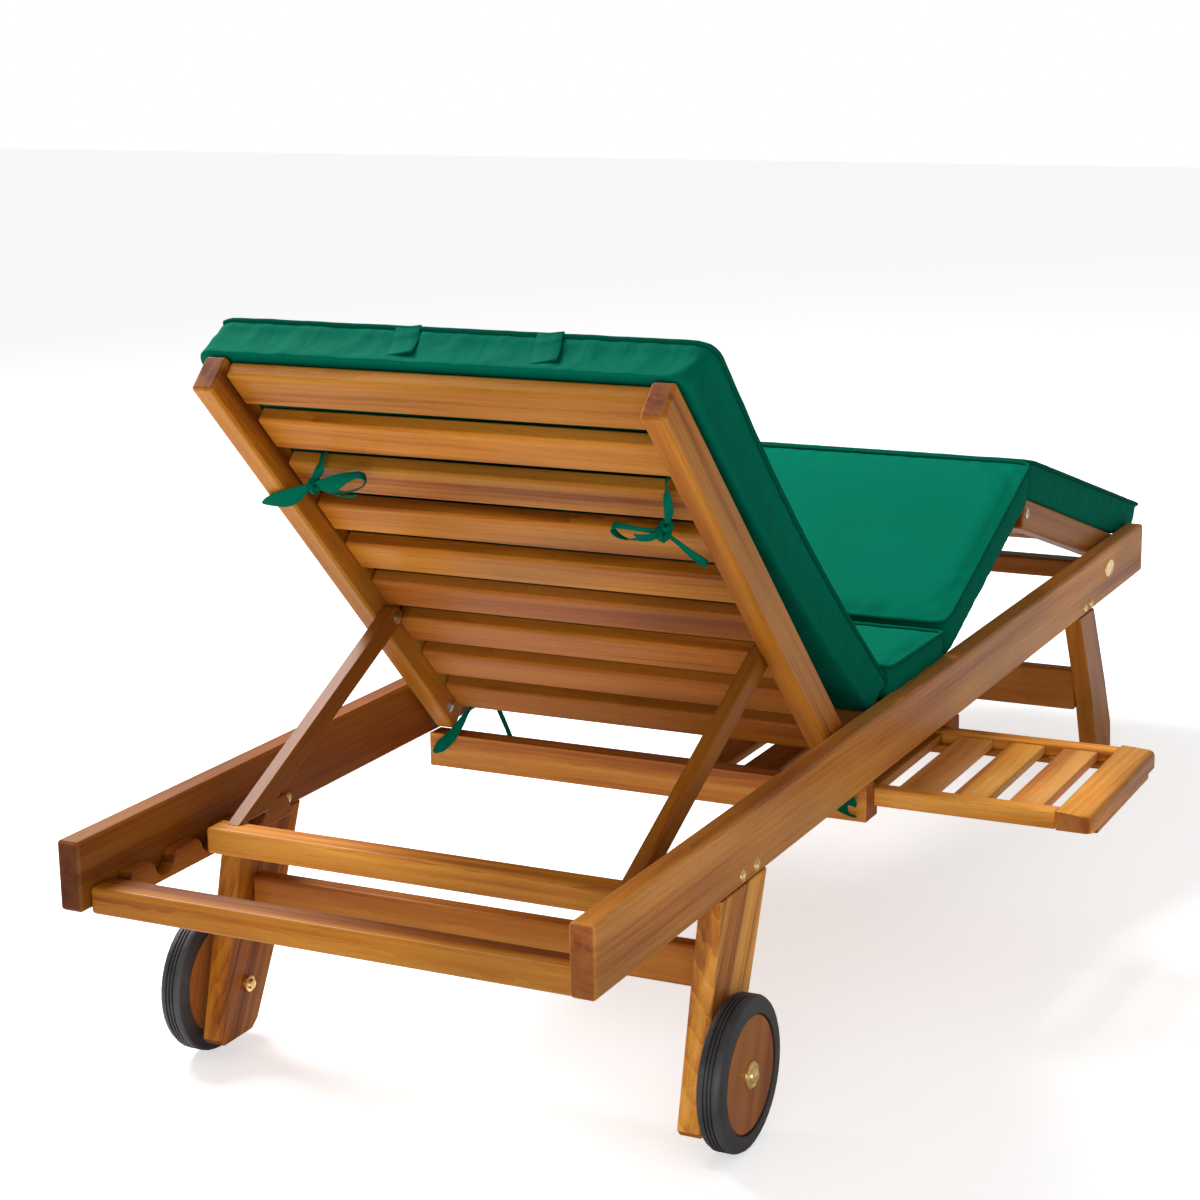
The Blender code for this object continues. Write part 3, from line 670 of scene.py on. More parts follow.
class Section:
    """One boxed section of the cushion, as a closed quad cage on a panel.

    corners are (s, n) pairs: bottom start, bottom end, top start, top end.
    low_half and top_half are the half widths at the start and at the end.
    radii round the plan's corners at the start and at the end.
    lift raises points by a function of how far along, how high and how far across they are.
    aside moves points to the left, by a function of how far along and across they are.
    """

    def __init__(
        self, panel, corners, low_half, top_half, radii, lift=None, reverse=False, aside=None
    ):
        self.aside = aside or (lambda along, across: 0.0)
        self.panel, self.corners = panel, corners
        self.low_half, self.top_half, self.radii = low_half, top_half, radii
        self.lift = lift or (lambda along, rise, across: 0.0)
        self.length = abs(corners[1][0] - corners[0][0])
        self.width = sum(low_half)
        self.cells = (max(8, round(self.length / CELL)), round(self.width / CELL), LAYERS)
        self.reverse = reverse
        self.build()

    def plan(self, i, j):
        """Where grid point (i, j) lies, as shares of the length and half width."""
        half_length, half_width = self.length / 2, self.width / 2
        p = (2 * i / self.cells[0] - 1) * half_length
        q = (2 * j / self.cells[1] - 1) * half_width
        radius = self.radii[0] if p < 0 else self.radii[1]
        over_p = abs(p) - (half_length - radius)
        over_q = abs(q) - (half_width - radius)
        if over_p > 0 and over_q > 0:
            shrink = max(over_p, over_q) / (over_p**2 + over_q**2) ** 0.5
            p = (half_length - radius + over_p * shrink) * (1 if p > 0 else -1)
            q = (half_width - radius + over_q * shrink) * (1 if q > 0 else -1)
        return (p / half_length + 1) / 2, q / half_width

    def point(self, i, j, k):
        along, across = self.plan(i, j)
        rise = k / self.cells[2]
        low_start, low_end, top_start, top_end = self.corners
        s = lerp(lerp(low_start[0], low_end[0], along), lerp(top_start[0], top_end[0], along), rise)
        n = lerp(lerp(low_start[1], low_end[1], along), lerp(top_start[1], top_end[1], along), rise)
        half = lerp(lerp(*self.low_half, along), lerp(*self.top_half, along), rise)
        y = across * half + self.aside(along, across)
        return self.panel.at(s, y, n + self.lift(along, rise, across))

    def build(self):
        na, nb, nc = self.cells
        self.index, self.points = {}, []
        for i in range(na + 1):
            for j in range(nb + 1):
                for k in range(nc + 1):
                    if i in (0, na) or j in (0, nb) or k in (0, nc):
                        self.index[i, j, k] = len(self.points)
                        self.points.append(self.point(i, j, k))
        self.faces = []
        for i in range(na):
            for j in range(nb):
                self.quad((i, j, 0), (i, j + 1, 0), (i + 1, j + 1, 0), (i + 1, j, 0))
                self.quad((i, j, nc), (i + 1, j, nc), (i + 1, j + 1, nc), (i, j + 1, nc))
        for k in range(nc):
            for i in range(na):
                self.quad((i, 0, k), (i + 1, 0, k), (i + 1, 0, k + 1), (i, 0, k + 1))
                self.quad((i, nb, k), (i, nb, k + 1), (i + 1, nb, k + 1), (i + 1, nb, k))
            for j in range(nb):
                self.quad((0, j, k), (0, j, k + 1), (0, j + 1, k + 1), (0, j + 1, k))
                self.quad((na, j, k), (na, j + 1, k), (na, j + 1, k + 1), (na, j, k + 1))

    def quad(self, *keys):
        face = tuple(self.index[key] for key in keys)
        self.faces.append(face[::-1] if self.reverse else face)

    def rim(self, k):
        """The grid points round the section at layer k, in order."""
        na, nb, _ = self.cells
        keys = [(i, 0, k) for i in range(na)] + [(na, j, k) for j in range(nb)]
        keys += [(i, nb, k) for i in range(na, 0, -1)] + [(0, j, k) for j in range(nb, 0, -1)]
        return keys

    def held(self, ends):
        """Grid points that the seams, the slats or a neighbouring section hold still."""
        na, _, nc = self.cells
        keys = set(self.rim(nc)) | set(self.rim(0))
        keys |= {key for key in self.index if key[2] == 0}
        keys |= {key for key in self.index if (key[0] == 0 and "start" in ends)}
        keys |= {key for key in self.index if (key[0] == na and "end" in ends)}
        return [self.index[key] for key in keys]


def simulate(obj, held):
    """Fills the cover by cloth simulation and returns the simulated points."""
    group = obj.vertex_groups.new(name="held")
    group.add(held, 1.0, "REPLACE")
    cloth = obj.modifiers.new("filling", "CLOTH")
    settings = cloth.settings
    for setting, value in COVER_CLOTH.items():
        setattr(settings, setting, value)
    settings.effector_weights.gravity = 0.0
    settings.vertex_group_mass = "held"
    cloth.collision_settings.use_collision = False
    scene = bpy.context.scene
    scene.frame_start, scene.frame_end = 1, FRAMES
    cloth.point_cache.frame_start, cloth.point_cache.frame_end = 1, FRAMES
    for number in range(1, FRAMES + 1):
        scene.frame_set(number)
    graph = bpy.context.evaluated_depsgraph_get()
    mesh = obj.evaluated_get(graph).data
    moved = np.empty(len(mesh.vertices) * 3, np.float32)
    mesh.vertices.foreach_get("co", moved)
    obj.modifiers.clear()
    obj.vertex_groups.clear()
    scene.frame_set(1)
    return moved.reshape(-1, 3).astype(float)


def capped(rest, moved, cap):
    """Limits how far each point has moved, gently, so that no edge of a plateau shows."""
    step = moved - rest
    size = np.linalg.norm(step, axis=1, keepdims=True)
    return rest + step * (cap * np.tanh(size / cap) / np.maximum(size, 1e-9))


def puckers(section, points, normals, seed, depth):
    """Gathers in the boxing, a crease each side of the piping, and ripples beside the seams."""
    na, nb, nc = section.cells
    for (i, j, k), index in section.index.items():
        on_side = j in (0, nb) or i in (0, na)
        inset = min(i, na - i, j, nb - j)
        run = (i if min(j, nb - j) < min(i, na - i) else j) * CELL
        if on_side and 0 < k < nc:
            deep = depth * (0.35 + 0.65 * abs(2 * k / nc - 1))
            wave = noise.noise(Vector((run * 85.0, k * 0.35, seed * 7.1 + (j > 0) + 2 * (i > 0))))
            points[index] += normals[index] * deep * wave
        elif k == nc and not on_side:
            deep = 0.0009 * max(0.0, 1.0 - inset * CELL / 0.05)
            wave = noise.noise(Vector((run * 50.0, inset * 0.11, seed)))
            points[index] += normals[index] * deep * wave
        if (on_side and k == nc - 1) or (k == nc and inset == 1):
            points[index] -= normals[index] * CREASE
    return points


def cushion(name, node, section, seed, ends=(), cap=0.010, gather=0.5, depth=0.0014):
    """Makes a section's cover, fills it, and sews piping round its top seam."""
    cloth = canvas("canvas_" + name, section.panel, 1.0, gather)
    cover = new_object(name + "_cover", section.points, section.faces, cloth)
    rest = np.array([tuple(point) for point in section.points])
    moved = capped(rest, simulate(cover, section.held(ends)), cap)
    cover.data.vertices.foreach_set("co", moved.astype(np.float32).ravel())
    cover.data.update()
    normals = np.array([tuple(vertex.normal) for vertex in cover.data.vertices])
    moved = puckers(section, moved, normals, seed, depth)
    cover.data.vertices.foreach_set("co", moved.astype(np.float32).ravel())
    finer = cover.modifiers.new("finer", "SUBSURF")
    finer.levels = finer.render_levels = 1
    bake_modifiers(cover)
    verts = [vertex.co.copy() for vertex in cover.data.vertices]
    faces = [tuple(face.vertices) for face in cover.data.polygons]
    slots = [0] * len(faces)
    # Subdivision keeps the cage's points first, so the rim's numbers still hold.
    rim = [verts[section.index[key]] for key in section.rim(section.cells[2])]
    centre = sum(rim, Vector()) / len(rim)
    normal = section.panel.normal
    path = []
    for point in rim:
        out = point - centre
        out -= normal * out.dot(normal)
        path.append(point + out.normalized() * PIPING_PROUD + normal * PIPING_PROUD)
    cord = swept(path, [normal] * len(path), round_section(PIPING), closed=True)
    verts, faces = joined([(verts, faces), cord])
    slots += [1] * (len(faces) - len(slots))
    # The piping's cloth is darkened to 0.66: painted shade in the groove beside it.
    materials = [cloth, canvas("piping_" + name, section.panel, 0.66)]
    bpy.data.objects.remove(cover, do_unlink=True)
    made = new_object(name, verts, faces, materials)
    made.data.polygons.foreach_set("material_index", slots)
    made.data.update()
    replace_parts(made, node)
    return made


def cushions():
    thigh_hinge, knee_hinge = (Vector(JOINTS[name]["pos_m"]) for name in ("knee_lift", "knee_fold"))
    thigh_length = (knee_hinge - thigh_hinge).length
    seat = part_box("seat_slat_1")[1].z + 0.001
    # Half the bend at the knee: the two sections meet on its bisector.
    knee = THIGH.along.angle(CALF.along) / 2
    low, top = 0.021, 0.071
    gap = 0.0006

    def mitre(n):
        return n * sin(knee) / cos(knee)

    def sag(along, rise, across):
        # The far side's underside lies down on the slats, except at its foot end.
        settled = 0.0545 * along * (1.0 - smoothstep((along - 0.84) / 0.16))
        return -0.006 * sin(pi * along) - settled * (1.0 - rise) * max(across, 0.0)

    back = Section(
        BACK,
        ((0.687, 0.0315), (-0.0560, 0.0885), (0.662, 0.0935), (-0.066, 0.1400)),
        (0.2940, 0.2830),
        (0.2990, 0.2850),
        (0.024, 0.006),
        sag,
        True,
        lambda along, across: 0.005 * (1 - along) + (0.008 + 0.007 * max(across, 0)) * sin(pi * along),
    )
    made = cushion("back_section", "back_cushion", back, 1, ("end",), 0.0095, 0.35)
    BACK.at(-0.300, 0.0, 0.12)
    BACK.at(0.200, 0.0, 0.10)
    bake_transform(made)
    belt_loops(made)

    middle = Section(
        BED,
        ((0.8740, seat), (1.0860, seat), (0.8690, 0.3795), (1.0700, 0.3780)),
        (0.2880, 0.2880),
        (0.2920, 0.2920),
        (0.010, 0.010),
    )
    made = cushion("seat_section", "seat_cushion", middle, 2, ("start", "end"), 0.0045)
    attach(made, "bed")

    thigh = Section(
        THIGH,
        (
            (0.0045, low),
            (thigh_length + mitre(low) - gap, low),
            (0.0165, top),
            (thigh_length + mitre(top) - gap, top),
        ),
        (0.2865, 0.2830),
        (0.2905, 0.2870),
        (0.020, 0.014),
    )
    made = cushion("thigh_section", "thigh_cushion", thigh, 3, ("start", "end"), 0.0070)
    THIGH.at(0.008, 0.0, 0.045)
    THIGH.at(0.110, 0.0, 0.045)
    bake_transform(made)

    calf = Section(
        CALF,
        ((gap - mitre(low), low), (0.601, low), (gap - mitre(top), top), (0.612, top)),
        (0.2785, 0.2785),
        (0.2860, 0.2860),
        (0.014, 0.012),
        lambda along, rise, across: 0.012 * lerp(smoothstep((along - 0.78) / 0.22), along, rise),
    )
    made = cushion("calf_section", "calf_cushion", calf, 4, ("start",), 0.0070, 1.0, 0.0022)
    CALF.at(-0.015, 0.0, 0.045)
    CALF.at(0.100, 0.0, 0.045)
    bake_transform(made)


# ---- Belt loops and ties

LOOP_PLACES = {"left": 0.060, "right": -0.110}
LOOP_SPAN = (0.0890, 0.0470)
LOOP_WIDTH = 0.031


def belt_loops(section):
    """Two flat fabric loops sewn down the head end of the back section."""
    mesh = section.data
    surface = BVHTree.FromPolygons(
        [vertex.co for vertex in mesh.vertices], [face.vertices for face in mesh.polygons]
    )
    clear, lean = 0.80, 0.012
    for label, y in LOOP_PLACES.items():
        points = []
        for step in range(7):
            n = lerp(*LOOP_SPAN, step / 6)
            hit = surface.ray_cast(BACK.at(clear, y, n), -BACK.along)[0]
            s = (hit - BACK.origin).dot(BACK.along)
            points.append((s + 0.0012, y - lean * step / 6, n, LOOP_WIDTH, 0))
        # The upper end curls over the piping.
        points.insert(0, (points[0][0] - 0.0008, y + 0.001, LOOP_SPAN[0] + 0.0060, LOOP_WIDTH, 0))
        verts, faces = tape(points, BACK, 0.0026, BACK.along)
        name = "belt_loop_" + label
        made = new_object(name, verts, faces, canvas("canvas_" + name, BACK, 0.95), "backrest")


def knot(centre, panel, size, turns):
    """A tight knot: short bands of tape wound about a common centre."""
    parts = []
    for a, b, lean in turns:
        ring = []
        for step in range(11):
            turn = tau * step / 10
            s = size * (0.75 * cos(turn) * a + lean * 0.4 * sin(turn))
            y = size * (0.75 * cos(turn) * b + 0.25 * sin(turn) * a)
            n = size * 0.85 * sin(turn)
            ring.append((centre[0] + s, centre[1] + y, centre[2] + n, 0.0075, 90 * a))
        parts.append(tape(ring, panel, 0.0030))
    return parts


# Routes of the tie tapes, one row of points for each piece of tape. A point is (s, y, n,
# width, twist in degrees) on the backrest and, at the runner, s counts from its head face.
LEFT_BOW = (
    (
        (0.527, 0.199, 0.034, 0.011, 0), (0.527, 0.199, 0.011, 0.011, 40),
        (0.522, 0.2, -0.001, 0.011, 20), (0.515, 0.206, -0.008, 0.009, 10),
        (0.508, 0.2105, -0.012, 0.007, 0),
    ),
    (
        (0.508, 0.208, -0.012, 0.007, 0), (0.514, 0.196, -0.018, 0.015, -20),
        (0.527, 0.172, -0.022, 0.018, -30), (0.538, 0.15, -0.02, 0.012, -60),
        (0.5395, 0.136, -0.016, 0.009, -90), (0.528, 0.1345, -0.012, 0.01, -110),
        (0.511, 0.146, -0.012, 0.01, -60), (0.501, 0.168, -0.014, 0.008, -30),
        (0.502, 0.192, -0.014, 0.007, 0), (0.507, 0.207, -0.012, 0.006, 0),
    ),
    (
        (0.507, 0.212, -0.012, 0.006, 0), (0.503, 0.225, -0.018, 0.014, 10),
        (0.495, 0.242, -0.023, 0.021, 15), (0.487, 0.261, -0.024, 0.022, 10),
        (0.48, 0.278, -0.023, 0.015, 0), (0.4755, 0.2895, -0.022, 0.003, 0),
    ),
    (
        (0.505, 0.207, -0.01, 0.007, 0), (0.494, 0.201, -0.01, 0.012, 10),
        (0.481, 0.194, -0.006, 0.011, 20), (0.4735, 0.186, -0.002, 0.006, 10),
        (0.4715, 0.175, 0.002, 0.002, 0),
    ),
)
RIGHT_BOW = (
    (
        (0.53, -0.223, 0.034, 0.012, 0), (0.53, -0.223, 0.011, 0.012, 30),
        (0.524, -0.226, -0.002, 0.012, 20), (0.51, -0.2255, -0.009, 0.011, 0),
        (0.497, -0.2215, -0.012, 0.008, -20), (0.488, -0.218, -0.013, 0.006, 0),
    ),
    (
        (0.475, -0.206, -0.014, 0.006, 0), (0.479, -0.193, -0.017, 0.006, 20),
        (0.485, -0.174, -0.019, 0.006, 50), (0.485, -0.159, -0.018, 0.008, 80),
        (0.476, -0.15, -0.016, 0.01, 90), (0.462, -0.1515, -0.015, 0.009, 70),
        (0.456, -0.162, -0.016, 0.007, 40), (0.46, -0.179, -0.016, 0.006, 10),
        (0.469, -0.2, -0.014, 0.006, 0),
    ),
    (
        (0.473, -0.205, -0.016, 0.009, 0), (0.4715, -0.194, -0.021, 0.012, 0),
        (0.469, -0.183, -0.021, 0.0125, 0), (0.468, -0.177, -0.02, 0.0125, 0),
    ),
    (
        (0.474, -0.211, -0.014, 0.006, 0), (0.468, -0.223, -0.02, 0.007, 0),
        (0.456, -0.236, -0.024, 0.007, -30), (0.442, -0.2455, -0.024, 0.007, -50),
        (0.429, -0.247, -0.021, 0.008, -80), (0.4225, -0.239, -0.016, 0.008, -100),
        (0.429, -0.228, -0.013, 0.007, -70), (0.445, -0.218, -0.012, 0.006, -40),
        (0.464, -0.212, -0.012, 0.006, 0),
    ),
)
RUNNER_TIES = {
    "tie_end_left": (
        (
            (0.006, 0.228, 0.306, 0.006, 60), (-0.001, 0.2335, 0.296, 0.008, 70),
            (-0.0035, 0.243, 0.28, 0.011, 80), (-0.004, 0.256, 0.264, 0.0145, 88),
            (-0.0045, 0.269, 0.252, 0.015, 90), (-0.004, 0.2795, 0.243, 0.005, 90),
        ),
    ),
    "tie_tape_left": (
        (
            (0.075, 0.242, 0.32, 0.007, 60), (0.05, 0.215, 0.3, 0.007, 60),
            (0.036, 0.193, 0.274, 0.007, 70), (0.033, 0.186, 0.262, 0.007, 80),
        ),
    ),
    "tie_end_right": (
        (
            (-0.002, -0.27, 0.262, 0.012, 80), (-0.01, -0.28, 0.252, 0.016, 60),
            (-0.014, -0.288, 0.243, 0.015, 40), (-0.008, -0.294, 0.234, 0.01, 20),
            (0.004, -0.296, 0.229, 0.006, 0),
        ),
        (
            (-0.002, -0.276, 0.262, 0.01, 80), (-0.012, -0.288, 0.259, 0.014, 60),
            (-0.018, -0.298, 0.255, 0.012, 50), (-0.016, -0.304, 0.249, 0.006, 40),
        ),
    ),
}
# Centre, size and turns of each knot.
ROUND_KNOT = ((1, 0, 0), (0, 1, 0.4))
LEFT_KNOTS = (((0.5075, 0.2085, -0.013), 0.0085, ROUND_KNOT),)
RIGHT_KNOTS = (
    ((0.474, -0.209, -0.015), 0.009, ROUND_KNOT),
    ((0.487, -0.2175, -0.014), 0.006, ((0, 1, 0.3),)),
)


def bows():
    """Tie tapes come through a slat gap on each side and are tied behind the slats."""
    for label, tapes, knots in (("left", LEFT_BOW, LEFT_KNOTS), ("right", RIGHT_BOW, RIGHT_KNOTS)):
        parts = [tape(points, BACK) for points in tapes]
        for centre, size, turns in knots:
            parts += knot(centre, BACK, size, turns)
        cloth = canvas("tape_" + label, BACK, 0.95)
        new_object("bow_" + label, *joined(parts), cloth, "backrest")


def runner_ties():
    """Tie ends that are wound round the head runner at the foot of the backrest."""
    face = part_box("tray_runner_head")[0].x - BED_X
    for name, tapes in RUNNER_TIES.items():
        parts = [tape([(face + s, *rest) for s, *rest in points], BED) for points in tapes]
        cloth = canvas("canvas_" + name, BED, 0.8)
        new_object(name, *joined(parts), cloth, "bed")


# ---- Slats, plugs and tray details

# A panel's slats reach from its hinge's height to this far above it.
SLAT_TOP = 0.020
SLAT_WIDTH = 0.060
NARROW_WIDTH = 0.040
SEAT_SLAT_HALF = 0.028
# Half width of each panel's slats, and where the extra ones start along it, with their width.
EXTRA_SLATS = {
    "thigh": (THIGH, 0.2245, ((0.165, SLAT_WIDTH), (0.345, NARROW_WIDTH))),
    "calf": (CALF, 0.2515, ((0.1375, SLAT_WIDTH), (0.2250, SLAT_WIDTH), (0.3125, SLAT_WIDTH))),
}
LEDGE = 0.013


def hidden_slats():
    """Slats under the cushions, between those that the frame already has."""
    low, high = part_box("seat_slat_1")
    half = (high.y - low.y) / 2
    middle = (high.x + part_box("seat_slat_2")[0].x) / 2 - BED_X
    start, end = middle - SEAT_SLAT_HALF, middle + SEAT_SLAT_HALF
    board("seat_slat_middle", BED, (start, -half, low.z), (end, half, high.z), "bed", 201, 0.3)
    for name, (panel, half, places) in EXTRA_SLATS.items():
        for number, (s, width) in enumerate(places):
            low, high = (s, -half, 0.0), (s + width, half, SLAT_TOP)
            label = f"{name}_slat_extra_{number + 1}"
            board(label, panel, low, high, name + "_panel", 210 + 10 * len(name) + number, 0.25)


def tray_details():
    """Ledges that carry the tray's slats, its inner slats, and a shaped end board."""
    head_low, head_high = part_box("tray_batten_head")
    slat_low, slat_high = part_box("tray_slat_3")
    end_low, end_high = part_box("tray_end_board")
    inner_x, outer_x = head_high.x - BED_X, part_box("tray_batten_foot")[0].x - BED_X
    near_y, far_y = head_low.y - BED_Y, head_high.y - BED_Y
    for name, x in (("head", inner_x), ("foot", outer_x - LEDGE)):
        low, high = (x, near_y, head_low.z), (x + LEDGE, far_y, slat_low.z - 0.0002)
        board("tray_ledge_" + name, BED, low, high, "tray", 230, 0.15, 0.001)
    pitch = slat_low.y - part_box("tray_slat_2")[0].y
    width = slat_high.y - slat_low.y
    start = slat_low.y - BED_Y + pitch
    number = 4
    while start + width < far_y:
        low = (slat_low.x - BED_X, start, slat_low.z)
        high = (slat_high.x - BED_X, start + width, slat_high.z)
        board(f"tray_slat_{number}", BED, low, high, "tray", 240 + number, 0.3, 0.0018, "s")
        start += pitch
        number += 1
    end_board(end_low, end_high)
    low = (end_low.x - BED_X + 0.030, end_low.y - BED_Y + 0.0015, end_low.z - 0.0075)
    high = (end_high.x - BED_X - 0.030, end_low.y - BED_Y + 0.020, end_low.z - 0.0002)
    board("tray_lip", BED, low, high, "tray", 251, 0.3, 0.0015, "s")


def end_board(low, high):
    """The tray's outer board: a bull-nosed edge, and corners worn round in plan."""
    shape = block(low, high, lambda x, y, z: Vector((x, y, z)))
    middle = (high + low) / 2

    def upright(edge):
        ends = [vert.co for vert in edge.verts]
        return abs(ends[0].z - ends[1].z) > 0.001 and ends[0].y < middle.y

    def in_nose(vert):
        return vert.co.y < high.y - 0.002 and vert.co.z > middle.z

    rounded(shape, [edge for edge in shape.edges if upright(edge)], 0.010, 6)
    rounded(shape, [edge for edge in shape.edges if all(map(in_nose, edge.verts))], 0.008, 5, 0.55)
    sharp = [edge for edge in shape.edges if edge.calc_face_angle(0) > radians(60)]
    rounded(shape, sharp, 0.0015, 2)
    axes = (Vector((1, 0, 0)), Vector((0, 1, 0)))
    # Its depth of 1.35 makes the end board paler: painted light on the tray.
    made = from_bmesh("tray_end", shape, timber("wood_tray_end", axes, 250, 0.20, 1.35), "tray")
    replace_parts(sharpen(made, 25.0), "tray_end_board")


# Where a foot leg's plugs lie along the bed and above the ground, and which way they face.
LEG_PLUGS = ((1.6945, 0.187), (1.7130, 0.142))
LEG_SLOPE = Vector((-0.92, 0.0, -0.38)).normalized()


def plugs():
    """Flush round plugs over the screws in the foot legs."""
    profile = ((0.0001, 0.0006), (0.0030, 0.0005), (0.0034, 0.0), (0.0034, -0.006))
    for label, side in SIDES:
        for number, (x, z) in enumerate(LEG_PLUGS):
            centre = BED.at(x, side * (RAIL_OUTER - 0.0135), z)
            axes = (LEG_SLOPE, Vector((0, 1, 0)))
            wood = timber(f"plug_{label}_{number}", axes, 300 + number, 0.7)
            name = f"leg_plug_{label}_{number + 1}"
            turned(name, profile, centre, LEG_SLOPE, wood, "bed", 20)


# ---- Metal

LEG_BOLT_X = (0.355, 0.393, 1.668, 1.701)
LEG_BOLT_Z = RAIL_BOTTOM + 0.0115
HEAD_HEIGHT = 0.0030
HEAD_PROFILE = (
    (0.0002, HEAD_HEIGHT),
    (0.0030, 0.0027),
    (0.0056, 0.0018),
    (0.0071, 0.0006),
    (0.0074, 0.0),
    (0.0074, -0.0006),
)
NUT_PROFILE = ((0.0002, 0.0022), (0.0040, 0.0022), (0.0062, 0.0012), (0.0064, -0.0004))


def leg_bolts():
    """Barrel bolts hold each leg to its rail: a slotted head outside, a nut inside."""
    for label, side in SIDES:
        outward = Vector((0.0, side, 0.0))
        for number, x in enumerate(LEG_BOLT_X):
            end = f"{label}_{number + 1}"
            centre = BED.at(x, side * RAIL_OUTER, LEG_BOLT_Z)
            head = turned("leg_bolt_" + end, HEAD_PROFILE, centre, outward, BRASS, "bed", 32)
            top = centre + outward * HEAD_HEIGHT
            cut_slot(head, top, outward, 0.03, 0.0014, 0.0014, 0.5 + 0.9 * number)
            inner = BED.at(x, side * RAIL_INNER, LEG_BOLT_Z)
            turned("leg_nut_" + end, NUT_PROFILE, inner, -outward, BRASS, "bed", 24)


PLAQUE_X = 1.799
PLAQUE_Z = RAIL_BOTTOM + 0.046
PLAQUE_STRETCH = 1.85
AXLE_RADIUS = 0.0052


def plaque():
    """A plain oval brass plate on the right rail, with a raised rim and no lettering."""
    centre = BED.at(PLAQUE_X, -RAIL_OUTER, PLAQUE_Z)
    profile = (
        (0.0002, 0.0010),
        (0.0103, 0.0010),
        (0.0110, 0.0015),
        (0.0122, 0.0015),
        (0.0129, 0.0010),
        (0.0131, -0.0004),
    )
    made = turned("plaque", profile, centre, (0, -1, 0), BRASS, "bed", 72)
    for vertex in made.data.vertices:
        vertex.co.x = centre.x + (vertex.co.x - centre.x) * PLAQUE_STRETCH


def axles():
    """Brass axle bolts: a domed cap in a ringed washer outside, a collar and nut inside."""
    for label, side in SIDES:
        low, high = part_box("wheel_axle_" + label)
        disc_low, disc_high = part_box("wheel_disc_" + label)
        centre = (low + high) / 2
        outer = max(abs(disc_low.y - BED_Y), abs(disc_high.y - BED_Y))
        ends = sorted(abs(y - BED_Y) for y in (low.y, high.y))
        # Distances from the disc's outer face to the bolt's two ends.
        back, top = ends[0] - outer, ends[1] - outer
        profile = [
            (0.0002, top),
            (0.0036, top - 0.0003),
            (0.0064, top - 0.0013),
            (0.0082, top - 0.0030),
            (0.0086, top - 0.0044),
            (0.0088, top - 0.0052),
            (0.0110, top - 0.0050),
            (0.0120, top - 0.0044),
            (0.0134, top - 0.0048),
            (0.0150, top - 0.0066),
            (0.0152, 0.0002),
            (AXLE_RADIUS, 0.0002),
            (AXLE_RADIUS, back + 0.0098),
            (0.0092, back + 0.0096),
            (0.0092, back + 0.0045),
            (0.0060, back + 0.0040),
            (0.0052, back + 0.0005),
            (0.0002, back),
        ]
        origin = Vector((centre.x, BED_Y + side * outer, centre.z))
        made = turned("axle_" + label, profile, origin, (0, side, 0), BRASS, "bed")
        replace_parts(made, "wheel_axle_" + label)


# ---- Studio

CAMERA_PLACE = (-2.0285, -1.3279, 1.1967)
CAMERA_YAW = 0.4598
CAMERA_PITCH = -0.2331
CAMERA_ROLL = -0.0156
CAMERA_LENS = 77.2
LIT_POINT = (0.95, 0.0, 0.3)
FLOOR_REACH = 14.0


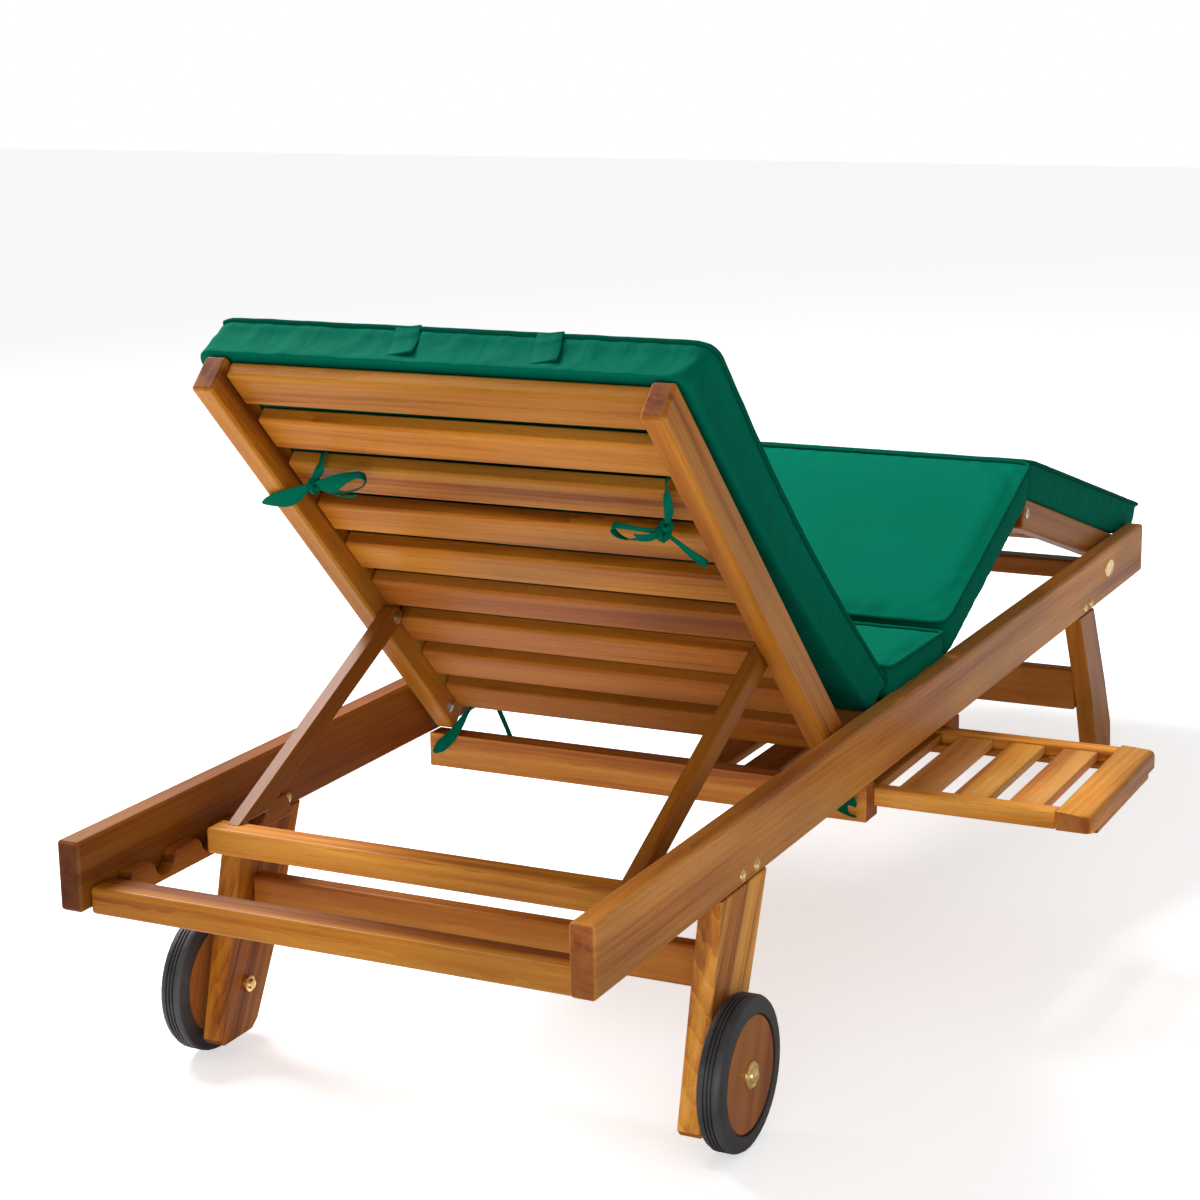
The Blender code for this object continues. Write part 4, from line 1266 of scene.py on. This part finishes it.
def camera():
    data = bpy.data.cameras.new("camera")
    data.lens = CAMERA_LENS
    data.sensor_width = 36.0
    data.clip_start, data.clip_end = 0.05, 60.0
    obj = linked("camera", data)
    ahead = Vector((cos(CAMERA_YAW), sin(CAMERA_YAW), 0.0)) * cos(CAMERA_PITCH)
    look = ahead + Vector((0.0, 0.0, sin(CAMERA_PITCH)))
    right = look.cross(Vector((0, 0, 1))).normalized()
    up = right.cross(look)
    turned_right = right * cos(CAMERA_ROLL) + up * sin(CAMERA_ROLL)
    turned_up = up * cos(CAMERA_ROLL) - right * sin(CAMERA_ROLL)
    turn = Matrix((turned_right, turned_up, -look)).transposed().to_4x4()
    obj.matrix_world = Matrix.Translation(BED.at(*CAMERA_PLACE)) @ turn
    bpy.context.scene.camera = obj


def softbox(name, place, size, power):
    """A rectangular light that faces the middle of the lounger."""
    data = bpy.data.lights.new(name, "AREA")
    data.shape = "RECTANGLE"
    data.size, data.size_y = size
    data.energy = power
    obj = linked(name, data)
    obj.location = BED.at(*place)
    aim = BED.at(*LIT_POINT) - obj.location
    obj.rotation_euler = aim.to_track_quat("-Z", "Y").to_euler()


def studio():
    shader = Shader("floor")
    mottle = shader.noise(shader.placed(), (3.0, 3.0, 3.0), 3.0)
    seen = shader.node("LightPath").outputs["Is Camera Ray"]
    shader.set(Base_Color=shader.mix(mottle, (0.86, 0.86, 0.86), (0.89, 0.89, 0.89)), Roughness=0.8)
    shader.set(Emission_Color=(1.0, 1.0, 1.0, 1.0), Specular_IOR_Level=0.2)
    shader.set(Emission_Strength=shader.math("MULTIPLY", seen, 0.58))
    centre = BED.at(1.0, 0.0, -0.0005)
    turns = ((-1, -1), (1, -1), (1, 1), (-1, 1))
    corners = [centre + Vector((a, b, 0)) * FLOOR_REACH for a, b in turns]
    new_object("floor", corners, [(0, 1, 2, 3)], shader.material)
    world = bpy.data.worlds.new("studio")
    world.use_nodes = True
    tree = world.node_tree
    path = tree.nodes.new("ShaderNodeLightPath")
    level = tree.nodes.new("ShaderNodeMapRange")
    level.inputs["To Min"].default_value = 0.40
    level.inputs["To Max"].default_value = 1.0
    tree.links.new(path.outputs["Is Camera Ray"], level.inputs["Value"])
    tree.links.new(level.outputs[0], tree.nodes["Background"].inputs["Strength"])
    tree.nodes["Background"].inputs["Color"].default_value = (1.0, 1.0, 1.0, 1.0)
    bpy.context.scene.world = world
    softbox("key", (1.5, 2.2, 3.0), (2.0, 1.8), 190.0)
    softbox("front", (-3.2, -1.0, 0.45), (2.0, 1.4), 54.0)
    bpy.context.scene.view_settings.view_transform = "Standard"


camera()
studio()
dress_cad()
cushions()
bows()
runner_ties()
hidden_slats()
tray_details()
plugs()
leg_bolts()
plaque()
axles()
